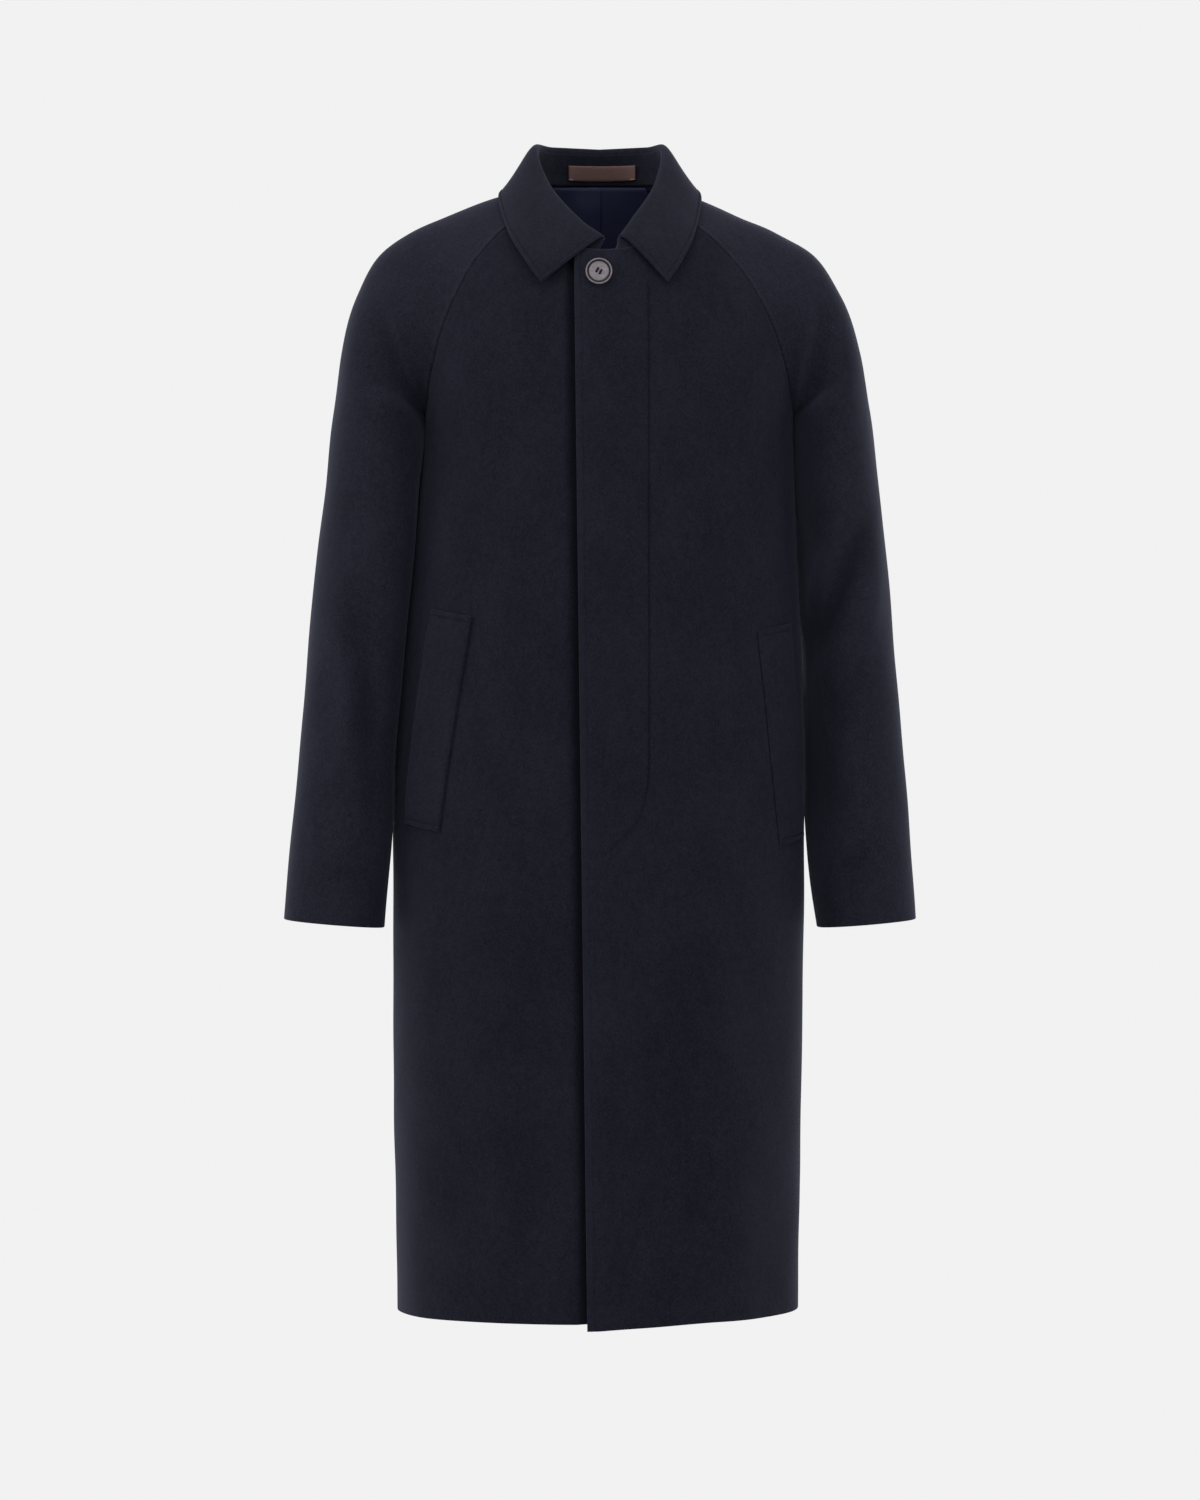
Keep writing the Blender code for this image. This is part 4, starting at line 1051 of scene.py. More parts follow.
@dataclass(frozen=True)
class BodyCut:
    """The fronts and the back."""

    trunk: Trunk
    cap_rows: int = 84
    skirt_rows: int = 164
    right_columns: int = 96
    rest_columns: int = 64
    back_columns: int = 68
    column_pull: float = 0.75
    overlap_lift: float = 0.0033
    edge_top_x: float = -0.0240
    edge_hem_x: float = -0.0112
    underlap_x: float = 0.0350
    hem_z: float = -1.0842
    right_hem_z: float = -1.0874
    left_hem_z: float = -1.0818
    back_hem_z: float = -1.0840
    left_drop: float = 0.0060
    drop_starts: float = 0.45
    skirt_length: float = 0.82

    def down(self) -> Array:
        """Shares of the rows below the underarm."""
        return foot_shares(self.skirt_rows, self.skirt_length)[1:]

    def side_seam(self, side: Side) -> Array:
        """Points of the side seam below the underarm."""
        top = FRONT_SEAM[-1].z
        foot = self.left_hem_z if side is Side.LEFT else self.right_hem_z
        z = top + (foot - top) * self.down()
        x = self.trunk.at(z, "lean") + side.value * self.trunk.at(z, "half_width")
        return np.stack([x, np.zeros_like(z), z], axis=1)

    def middle_heights(self, seams: Sequence[SeamRow], hem_z: float) -> Array:
        """Heights of the rows at centre front or centre back, cap rows first."""
        table = np.array([row.middle_z for row in seams])
        cap = smooth(np.arange(len(seams)), table, np.linspace(0, len(seams) - 1, self.cap_rows))[:, 0]
        return np.concatenate([cap, cap[-1] + (hem_z - cap[-1]) * self.down()])

    def edge_x(self, z: Array) -> Array:
        """Where the left front's edge lies at heights."""
        share = (FRONT_SEAM[0].middle_z - z) / (FRONT_SEAM[0].middle_z - self.hem_z)
        return self.edge_top_x + (self.edge_hem_x - self.edge_top_x) * share

    def edge_runs(self) -> Array:
        """Distances from the left front's edge: close at the edge, its stitching and the fly stitching."""
        return np.concatenate([EDGE_STEPS, *(np.linspace(*band) for band in EDGE_BANDS)])

    def front(self, side: Side, seam: Array) -> tuple[Array, Array]:
        """A front from its free edge to the raglan seam and side seam.

        Args:
            side: which front.
            seam: the sleeve's points at the seam.
        Returns:
            The grid, and each row's distance from its edge to centre front.
        """
        ends = np.concatenate([seam[: self.cap_rows], self.side_seam(side)])
        z = self.middle_heights(FRONT_SEAM, self.hem_z)
        left = side is Side.LEFT
        start = self.edge_x(z) if left else np.full_like(z, self.underlap_x)
        depth = -(self.trunk.at(z, "front") + (self.overlap_lift if left else 0.0))
        lowered = np.clip((-z - self.drop_starts) / (-self.hem_z - self.drop_starts), 0, None) ** 2
        arcs = self.trunk.arcs(side, ends, z, depth, start, lowered * (self.left_drop if left else 0.0))
        overlap = np.abs(start - self.trunk.at(z, "lean"))
        if not left:
            return respaced(arcs, spread(self.right_columns, self.column_pull)), overlap
        runs = self.edge_runs()
        total = run_lengths(arcs)[:, -1:]
        rest = half_spread(self.rest_columns, self.column_pull)[1:]
        near = np.broadcast_to(runs, (len(z), len(runs)))
        shares = np.concatenate([near, runs[-1] + (total - runs[-1]) * rest], axis=1) / total
        return respaced(arcs, shares), overlap

    def back(self, right_seam: Array, left_seam: Array) -> Array:
        """The back from the wearer's right to left."""
        z = self.middle_heights(BACK_SEAM, self.back_hem_z)
        depth, start = self.trunk.at(z, "back"), self.trunk.at(z, "lean")
        shares = half_spread(self.back_columns, self.column_pull)
        halves = []
        for side, seam in ((Side.RIGHT, right_seam), (Side.LEFT, left_seam)):
            ends = np.concatenate([seam[: self.cap_rows], self.side_seam(side)])
            halves.append(respaced(self.trunk.arcs(side, ends, z, depth, start, np.zeros_like(z)), shares))
        return np.concatenate([halves[0][:, ::-1], halves[1][:, 1:]], axis=1)


@dataclass(frozen=True)
class Borders:
    """How each border of a panel is finished; the sides change where the cap rows end."""

    start_cap: Border
    start_below: Border
    end_cap: Border
    end_below: Border


PANEL_BORDERS = {
    "front_left": Borders(Border.FREE, Border.FREE, Border.UNDER, Border.SEAM),
    "front_right": Borders(Border.FREE, Border.FREE, Border.UNDER, Border.SEAM),
    "back": Borders(Border.UNDER, Border.SEAM, Border.UNDER, Border.SEAM),
    "sleeve_front": Borders(Border.LAP, Border.SEAM, Border.SEAM, Border.SEAM),
    "sleeve_back": Borders(Border.SEAM, Border.SEAM, Border.LAP, Border.SEAM),
}


@dataclass
class ClothSurface:
    """The shape of hung cloth: creases, slow drape, uneven lie, seams and edge stitching, and the painted
    shade of creases and of the gap at the front edge.
    """

    seed: int = 7
    waves: int = 14
    shortest_wave: float = 0.04
    longest_wave: float = 0.13
    lie_depth: float = 0.00035
    drape_depth: float = 0.0014
    drape_starts: float = -0.46
    drape_ends: float = -1.09
    drape_power: float = 1.5
    lap_height: float = 0.0004
    lap_rise: float = 0.0006
    lap_fade: tuple[float, float] = (LAP_WIDTH - 0.001, LAP_WIDTH + 0.0012)
    edge_dip: float = 0.0052
    dip_span: tuple[float, float] = (-0.010, -0.001)
    edge_lift: float = 0.0009
    lift_run: float = 0.010
    # Painted shadow on the right front beside the left front's edge, and painted shade in crease troughs
    edge_painted_shadow: float = 0.0025
    painted_shadow_span: tuple[float, float] = (-0.008, -0.001)
    crease_painted_shade: float = 0.22
    crease_reach: float = 3.0
    crease_fade: float = 0.06
    fade_power: float = 0.7
    facing_gain: float = 1.6

    def creases(self, grid: Array, normals: Array) -> Array:
        """Depth of the creases at each point: a bell across each path that fades out at its ends."""
        depth = np.zeros(grid.shape[0] * grid.shape[1])
        flat = grid.reshape(-1, 3)[:, [0, 2]]
        for face, crease in CREASES:
            facing = face.value * normals.reshape(-1, 3)[:, 1]
            reach = self.crease_reach * crease.half_width
            low, high = np.min(crease.path, axis=0) - reach, np.max(crease.path, axis=0) + reach
            near = ((flat > low) & (flat < high)).all(axis=1) & (facing > 0)
            if not near.any():
                continue
            gap, along = path_distance(flat[near], crease.path)
            share = self.crease_fade + (1 - 2 * self.crease_fade) * along
            fade = np.sin(np.pi * share) ** self.fade_power
            turned = np.clip(facing[near] * self.facing_gain, 0, 1)
            depth[near] += crease.depth * bell(gap, crease.half_width) * fade * turned
        return depth.reshape(grid.shape[:2])

    def drape(self, grid: Array) -> Array:
        """Slow folds of the skirt: waves round the trunk that grow towards the hem."""
        turn, z = np.arctan2(grid[..., 0], -grid[..., 1]), grid[..., 2]
        below = np.clip((self.drape_starts - z) / (self.drape_starts - self.drape_ends), 0, 1)
        wave = sum(row.share * np.sin(row.turns * turn + row.start + row.twist * z) for row in SKIRT_WAVES)
        return self.drape_depth * below**self.drape_power * wave

    def uneven(self, grid: Array) -> Array:
        """The uneven lie of real cloth: a sum of waves of random directions and lengths."""
        draws = np.random.default_rng(self.seed)
        ways = draws.normal(size=(self.waves, 3))
        ways /= np.linalg.norm(ways, axis=1, keepdims=True)
        turns = 2 * np.pi / draws.uniform(self.shortest_wave, self.longest_wave, self.waves)
        phase = draws.uniform(0, 2 * np.pi, self.waves)
        total = np.sin(grid @ (ways * turns[:, None]).T + phase).sum(axis=-1)
        return self.lie_depth * total / math.sqrt(self.waves)

    def border_relief(self, kind: Border, distance: Array) -> Array:
        """How far the skin stands proud at a distance from a border; a lap is raised as well."""
        proud = grooved(BORDER_RELIEF[kind], distance)
        if kind is Border.LAP:
            rise = 1 - np.exp(-distance / self.lap_rise)
            proud = proud + self.lap_height * rise * (1 - ramp(*self.lap_fade, distance))
        return proud


class CoatShell:
    """All the wool panels of the body and sleeves, with their shared seams."""

    def __init__(self, trunk: Trunk, body: BodyCut, surface: ClothSurface) -> None:
        """Works out the grids of all panels, their normals and their hung shape."""
        self.trunk, self.body, self.surface = trunk, body, surface
        self.grids: dict[str, Array] = {}
        self.overlap: dict[Side, Array] = {}
        self.crease_depth: dict[str, Array] = {}
        outward: dict[str, Array] = {}
        for side in Side:
            ahead, behind = RaglanSleeve(side, trunk).halves()
            self.grids["sleeve_front_" + side.word], self.grids["sleeve_back_" + side.word] = ahead, behind
            self.grids["front_" + side.word], self.overlap[side] = body.front(side, ahead[:, 0])
        seams = [self.grids["sleeve_back_" + side.word][:, -1] for side in Side]
        self.grids["back"] = body.back(*seams)
        for name in self.grids:
            outward[name] = np.array([0.0, 1.0 if "back" in name else -1.0, 0.0])
        self.flat_grids = self.grids
        plain = shared_normals(self.grids, outward)
        self.grids = {name: self.hung(name, grid, plain[name]) for name, grid in self.grids.items()}
        self.normals = shared_normals(self.grids, outward)

    def hung(self, name: str, grid: Array, normals: Array) -> Array:
        """A panel with its creases, drape and uneven lie, moved along its normals."""
        self.crease_depth[name] = self.surface.creases(grid, normals)
        depth = self.crease_depth[name] + self.surface.uneven(grid)
        if "sleeve" not in name:
            depth = depth + self.surface.drape(grid)
        if name == "front_right":
            depth = depth + self.surface.edge_dip * ramp(*self.surface.dip_span, self.past_edge(grid))
        return grid - normals * depth[..., None]

    def past_edge(self, grid: Array) -> Array:
        """How far points of the right front lie past the left front's edge."""
        return grid[..., 0] - self.body.edge_x(grid[..., 2])

    def relief(self, name: str) -> tuple[Array, Array]:
        """How far a panel's skin stands proud, which also sets its painted shade, and its distance to the
        nearest turned edge.
        """
        grid = self.grids[name]
        across, down = run_lengths(grid), down_lengths(grid)
        kinds = PANEL_BORDERS[name if name in PANEL_BORDERS else name.rsplit("_", 1)[0]]
        cap = (np.arange(len(grid)) < self.body.cap_rows)[:, None]
        proud = np.zeros(grid.shape[:2])
        free = down[-1:] - down
        from_end = across[:, -1:] - across
        for distance, on_cap, below in (
            (across, kinds.start_cap, kinds.start_below),
            (from_end, kinds.end_cap, kinds.end_below),
        ):
            sides = [self.surface.border_relief(kind, distance) for kind in (on_cap, below)]
            proud += np.where(cap, *sides)
            if on_cap is Border.FREE:
                free = np.minimum(free, distance)
        if name == "front_left":
            gap, _ = path_distance(grid.reshape(-1, 3)[:, [0, 2]], FLY_STITCH)
            proud += grooved(FLY_RELIEF, gap.reshape(proud.shape))
            proud += self.surface.edge_lift * np.exp(-across / self.surface.lift_run)
        return proud, free

    def build(self, finish: bpy.types.Material, sleeve_painted_light_finish: bpy.types.Material) -> None:
        """Makes a closed shell of each panel; its relief also sets painted shade, darker in creases and in
        the gap beside the front edge, and lighter where the cloth stands proud.
        """
        for name, grid in self.grids.items():
            proud, free = self.relief(name)
            inset = half_round(free, SHELL)
            skin, under = cloth_sides(grid, self.normals[name], proud, inset, SHELL)
            # Painted shade and highlight: seam and stitching grooves and crease troughs darker, raised cloth
            # and ridges lighter, and a painted shadow on the right front beside the left front's edge
            tone = proud - self.surface.crease_painted_shade * self.crease_depth[name]
            if name == "front_right":
                tone = tone - self.surface.edge_painted_shadow * ramp(*self.surface.painted_shadow_span, self.past_edge(grid))
            # The sleeves take a lighter copy of the wool: painted light
            material = sleeve_painted_light_finish if "sleeve" in name else finish
            piece = cloth_shell(name + "_cloth", skin, under, material, tone)
            dress(piece, name, cut_of(self.flat_grids[name]))

    def neck_line(self, side: Side) -> Array:
        """The neck seam from centre back to centre front on one side, as a dense line."""
        back = self.flat_grids["back"][0]
        middle = len(back) // 2
        half = back[middle:] if side is Side.LEFT else back[middle::-1]
        front = self.flat_grids["front_" + side.word][0][::-1]
        ahead = side.value * (front[:, 0] - float(self.trunk.at(front[0, 2], "lean"))) >= 0
        over = self.flat_grids["sleeve_back_" + side.word][0][::-1][1:]
        onward = self.flat_grids["sleeve_front_" + side.word][0][::-1][1:]
        line = np.concatenate([half, over, onward, front[ahead][1:]])
        return respaced(line[None], np.linspace(0, 1, 4 * DENSE))[0]


@dataclass
class Collar:
    """The collar: a stand inside the neck, and a fall that turns over it."""

    shell: CoatShell
    stations: int = 241
    roll_half: float = 0.0040
    roll_handles: tuple[float, float] = (0.6, 0.7)
    fall_handle: float = 0.0065
    fall_rows: int = 84
    fall_pull: float = 0.8
    stand_rows: int = 22
    edge_share: float = 0.35
    seam_allowance: float = 0.0017
    allowance_ends: float = 0.4
    shows: tuple[float, float] = (0.010, 0.020)
    lie_share: float = 0.5
    stitch_starts: float = 0.016

    def lines(self, side: Side) -> dict[str, Array]:
        """Seat, roll and edge on one side, from centre back to the end, with the way out of the neck."""
        places = np.linspace(0, len(COLLAR) - 1, self.stations // 2 + 1)
        rows = smooth(np.arange(len(COLLAR)), np.array(COLLAR), places)
        column = dict(zip(CollarRow._fields, rows.T))
        made = {"turn": column["turn"], "bulge": column["bulge"]}
        made["seat"] = respaced(self.shell.neck_line(side)[None], column["seat"] * SEAT_END[side])[0]
        sign = side.value
        for part in ("roll", "edge"):
            x = sign * column[part + "_x"] + column[part + "_shift"]
            made[part] = np.stack([x, column[part + "_y"], column[part + "_z"]], axis=1)
        along = np.gradient(made["roll"], axis=0)
        along[0] = (sign, 0, 0)
        out = np.stack([along[:, 1] * -sign, along[:, 0] * sign, np.zeros(len(along))], axis=1)
        made["out"] = out / np.linalg.norm(out, axis=1, keepdims=True)
        return made

    def whole(self) -> dict[str, Array]:
        """The lines from the right end round the back to the left end."""
        right, left = self.lines(Side.RIGHT), self.lines(Side.LEFT)
        return {name: np.concatenate([right[name][::-1], left[name][1:]]) for name in right}

    def stand_grid(self, lines: dict[str, Array]) -> Array:
        """The stand's skin, straight from the neck seam up to the turn, thicker at its foot."""
        share = np.linspace(0, 1, self.stand_rows)[:, None, None]
        foot = lines["seat"] - lines["out"] * COLLAR_CLOTH
        top = lines["roll"] - lines["out"] * self.roll_half - UP * lines["turn"][:, None]
        allowance = self.seam_allowance * (1 - ramp(0.0, self.allowance_ends, share))
        return foot + (top - foot) * share - lines["out"] * allowance

    def fall_grid(self, lines: dict[str, Array]) -> Array:
        """The fall's skin: one cubic up to the roll and another down to the edge."""
        t = np.linspace(0, 1, DENSE)
        roll, edge, out = lines["roll"], lines["edge"], lines["out"]
        turn, bulge = lines["turn"][:, None], lines["bulge"][:, None]
        low, high = self.roll_handles
        start = roll - out * self.roll_half - UP * turn
        rise = bezier(start, start + UP * turn * low, roll - out * self.roll_half * high, roll, t)
        near_edge = edge + (roll - edge) * self.edge_share + out * bulge
        down = bezier(roll, roll + out * self.fall_handle, near_edge, edge, t)
        whole = np.concatenate([rise, down[:, 1:]], axis=1)
        return respaced(whole, spread(self.fall_rows, self.fall_pull)).transpose(1, 0, 2)

    def build(self, finish: bpy.types.Material) -> tuple[Array, Array, Array, Array]:
        """Makes the stand and the fall.

        Args:
            finish: their material, a lighter copy of the body's wool as painted light.
        Returns:
            The stand's skin and its normals, and the fall's skin and its normals.
        """
        lines = self.whole()
        stand = self.stand_grid(lines)
        inward = own_normals(stand, UP)
        inward = inward * -np.sign((inward[1] * lines["out"]).sum())
        outer = stand[-1] + lines["out"] * COLLAR_CLOTH
        behind = lines["seat"] + (outer - lines["seat"]) * np.linspace(0, 1, len(stand))[:, None, None]
        piece = cloth_shell("collar_stand_cloth", stand, behind, finish)
        dress(piece, "collar_stand", cut_of(stand))
        fall = self.fall_grid(lines)
        out = own_normals(fall, UP)
        out = out * np.sign((out[-2] * lines["out"]).sum())
        across, down = run_lengths(fall), down_lengths(fall)
        edge = np.minimum(np.minimum(across, across[:, -1:] - across), down[-1:] - down)
        lie = self.shell.surface.uneven(fall) * self.lie_share
        proud = (grooved(COLLAR_RELIEF, edge) + lie) * ramp(*self.shows, down)
        skin, under = cloth_sides(fall, out, proud, half_round(edge, COLLAR_CLOTH), COLLAR_CLOTH)
        # The fall's relief is also stored as painted shade, darker in its stitching groove and lighter where
        # it stands proud
        piece = cloth_shell("collar_fall_cloth", skin, under, finish, proud)
        dress(piece, "collar_fall", cut_of(fall))
        return stand, inward, skin, out

    def stitch_line(self, skin: Array, out: Array) -> tuple[Array, Array]:
        """The line of edge stitching round the fall: along its front edges and its outer edge.

        Args:
            skin: the fall's grid.
            out: its normals.
        Returns:
            The line's points and normals.
        """
        across, down = run_lengths(skin)[-1], down_lengths(skin)[:, 0]
        keep = (across > COLLAR_STITCH) & (across[-1] - across > COLLAR_STITCH)
        shown = (down > self.stitch_starts) & (down[-1] - down > COLLAR_STITCH)
        turned = skin.transpose(1, 0, 2), out.transpose(1, 0, 2)
        right = panel_line(skin, out, COLLAR_STITCH, False, shown)
        edge = panel_line(*turned, COLLAR_STITCH, True, keep)
        left = panel_line(skin, out, COLLAR_STITCH, True, shown)
        points, normals = ([right[part], edge[part], left[part][::-1]] for part in (0, 1))
        return np.concatenate(points), np.concatenate(normals)


@dataclass
class NeckLabel:
    """The bare label on the inside of the stand."""

    middle_x: float = 0.0025
    width: float = 0.066
    height: float = 0.0145
    foot_z: float = 0.0045
    behind_y: float = 0.02
    puff: float = 0.0004
    puff_run: float = 0.0012
    rows: int = 14
    columns: int = 61

    def build(self, stand: Array, inward: Array, finish: bpy.types.Material) -> tuple[Array, Array]:
        """Makes the label from the stand's own points at centre back, moved in.

        Args:
            stand: the stand's grid.
            inward: its normals.
            finish: the label's material.
        Returns:
            The label's skin and its normals.
        """
        behind = stand[0, :, 1] > self.behind_y
        order = np.argsort(stand[0, behind, 0])
        foot, top, way = (line[behind][order] for line in (stand[0], stand[-1], inward[1]))
        down = np.linspace(0, 1, self.rows)[:, None]
        share = (self.foot_z + self.height * down - foot[:, 2]) / (top[:, 2] - foot[:, 2])
        lines = foot + (top - foot) * share[..., None]
        x = np.linspace(-0.5, 0.5, self.columns) * self.width + self.middle_x
        wanted = np.broadcast_to(x, (self.rows, self.columns))
        skin, ways = at_x(lines, wanted, lines, np.broadcast_to(way, lines.shape))
        edge = np.minimum(np.minimum(down, 1 - down) * self.height, np.minimum(x - x[0], x[-1] - x))
        puff = self.puff * (1 - bell(edge, self.puff_run))
        outer = skin + ways * (LYING_GAP + LABEL_CLOTH + puff)[..., None]
        piece = cloth_shell("neck_label_cloth", outer, skin + ways * LYING_GAP, finish)
        dress(piece, "neck_label", cut_of(skin))
        return outer, ways


@dataclass
class BackLining:
    """The satin back lining with its centre pleat."""

    edge: float = 0.84
    gap: float = 0.0016
    sewn_gap: float = 0.0011
    opens: float = 0.024
    sewn_share: float = 0.25
    pleat_top_x: float = 0.0010
    pleat_deep: float = 0.0120
    pleat_back: float = 0.8
    pleat_on: float = 0.5
    pleat_clear: float = 1.6
    pleat_step: float = 0.0015
    side_columns: int = 44
    fold_columns: int = 61

    def columns(self, right_end: Array, left_end: Array) -> tuple[Array, Array]:
        """Places across each row and, at each, how many layers of the knife pleat lie under it.

        The pleat's section is a smooth curve through seven places: the top fold, the turn back under it
        and the turn forward again.

        Args:
            right_end: where each row starts.
            left_end: where each row ends.
        Returns:
            The places in x, a row for each row, and the layers, one row for all.
        """
        deep, half = self.pleat_deep * self.pleat_back, self.pleat_step / 2
        top, clear = self.pleat_top_x, self.pleat_deep * self.pleat_clear
        fold = [(top - half, 2.0), (top, 1.5), (top - half, 1.0)]
        fold += [(-deep, 1.0), (-deep - half, 0.5), (-deep, 0.0), (self.pleat_deep * self.pleat_on, 0.0)]
        places = np.linspace(0, len(fold) - 1, self.fold_columns)
        fold = smooth(np.arange(len(fold)), np.array(fold), places)
        share = np.linspace(0, 1, self.side_columns)
        right = right_end[:, None] + (-clear - right_end[:, None]) * share
        left = clear + (left_end[:, None] - clear) * share
        x = np.concatenate([right, np.broadcast_to(fold[:, 0], (len(right), len(fold))), left], axis=1)
        layers = np.concatenate([share**2 * fold[0, 1], fold[:, 1], np.zeros(self.side_columns)])
        return x, layers

    def build(self, shell: CoatShell, finish: bpy.types.Material) -> None:
        """Makes the lining from the back's inner points, moved in."""
        rows = shell.body.cap_rows
        normals = shell.normals["back"][:rows]
        under = shell.grids["back"][:rows] - normals * SHELL
        x, layers = self.columns(under[:, 0, 0] * self.edge, under[:, -1, 0] * self.edge)
        down = run_lengths(under[:, under.shape[1] // 2][None])[0]
        open_up = ramp(0.0, self.opens, down)[:, None]
        gap = self.sewn_gap + (self.gap - self.sewn_gap) * open_up
        step = self.pleat_step * (self.sewn_share + (1 - self.sewn_share) * open_up)
        inset = gap + LINING_CLOTH / 2 + layers * step
        points, ways = at_x(under, x, under, normals)
        middle = points - ways * inset[..., None]
        out = own_normals(middle, np.array([0.0, -1.0, 0.0])) * LINING_CLOTH / 2
        piece = cloth_shell("back_lining_cloth", middle + out, middle - out, finish)
        dress(piece, "back_lining", cut_of(middle))


@dataclass
class PocketWelt:
    """A slanted pocket welt on a front, sewn down along its inner edge and both short ends."""

    side: Side
    top_along: float
    top_z: float
    foot_along: float
    foot_z: float
    width: float = 0.0500
    rise: float = 0.0080
    rows: int = 96
    columns: int = 44
    pull: float = 0.6
    search_steps: int = 40
    search_gain: float = 0.7
    stitch: float = 0.0056
    stitch_depth: float = 0.0007
    stitch_width: float = 0.0010
    body: float = 0.0003
    body_run: float = 0.004
    open_lift: float = 0.0014
    open_across: tuple[float, float] = (0.3, 1.0)
    open_down: tuple[float, float] = (0.004, 0.030)
    open_under: float = 0.8
    sewn_drop: float = 0.0004
    sewn_ease: float = 0.005
    least: float = 0.0003
    tuck: float = 0.0002
    stitch_margin: int = 4

    def on_front(self, shell: CoatShell) -> tuple[Array, Array]:
        """Points of the front under the welt, and their normals.

        Each point has a distance along the cloth from centre front and a height; its row is found by
        stepping towards the height.

        Args:
            shell: the coat that it lies on.
        Returns:
            The points and the normals.
        """
        name = "front_" + self.side.word
        grid, normals, overlap = shell.grids[name], shell.normals[name], shell.overlap[self.side]
        down = spread(self.rows, self.pull)[:, None]
        across = spread(self.columns, self.pull)[None, :]
        along = self.top_along + (self.foot_along - self.top_along) * down + self.width * across
        z = self.top_z + (self.foot_z - self.top_z) * down + self.rise * across
        runs = run_lengths(grid)
        count = len(grid)
        row = np.full(z.shape, count * 0.5)
        for _ in range(self.search_steps):
            points = self.between_rows(grid, runs, overlap, row, along)
            row = np.clip(row + (points[..., 2] - z) * count * self.search_gain, 0, count - 1.001)
        points = self.between_rows(grid, runs, overlap, row, along)
        ways = self.between_rows(normals, runs, overlap, row, along)
        return points, ways / np.linalg.norm(ways, axis=-1, keepdims=True)

    @staticmethod
    def between_rows(values: Array, runs: Array, overlap: Array, row: Array, along: Array) -> Array:
        """Values at fractional rows and at distances along the cloth from centre front."""
        low = row.astype(int)
        share = (row - low)[..., None]
        upper = at_runs(values, runs, low, along + overlap[low])
        lower = at_runs(values, runs, low + 1, along + overlap[low + 1])
        return upper * (1 - share) + lower * share

    def build(self, shell: CoatShell, finish: bpy.types.Material) -> list[tuple[Array, Array]]:
        """Makes the welt.

        Args:
            shell: the coat that it lies on.
            finish: its material.
        Returns:
            Its two lines of end stitching, as points and normals.
        """
        name = "pocket_welt_" + self.side.word
        base, ways = self.on_front(shell)
        across, down = run_lengths(base), down_lengths(base)
        ends = np.minimum(down, down[-1:] - down)
        edge = np.minimum(ends, np.minimum(across, across[:, -1:] - across))
        opened = ramp(*self.open_across, across / across[:, -1:]) * ramp(*self.open_down, ends)
        opened = self.open_lift * opened
        groove = self.stitch_depth * bell(ends - self.stitch, self.stitch_width)
        stitched = self.body * ramp(0.0, self.body_run, edge) - groove
        proud = stitched + opened - self.sewn_drop * (1 - ramp(0.0, self.sewn_ease, across))
        inset = half_round(edge, WELT_CLOTH)
        height = np.maximum(LYING_GAP + WELT_CLOTH + proud - inset, LYING_GAP + self.least)
        skin = base + ways * height[..., None]
        under = base + ways * (LYING_GAP + np.minimum(inset, self.tuck) + opened * self.open_under)[..., None]
        # The welt's relief is also stored as painted shade, darker in its stitching grooves
        piece = cloth_shell(name + "_cloth", skin, under, finish, stitched)
        dress(piece, name, cut_of(base))
        turned = skin.transpose(1, 0, 2), ways.transpose(1, 0, 2)
        inside = slice(self.stitch_margin, -self.stitch_margin)
        return [panel_line(*turned, self.stitch, from_end, inside) for from_end in (False, True)]


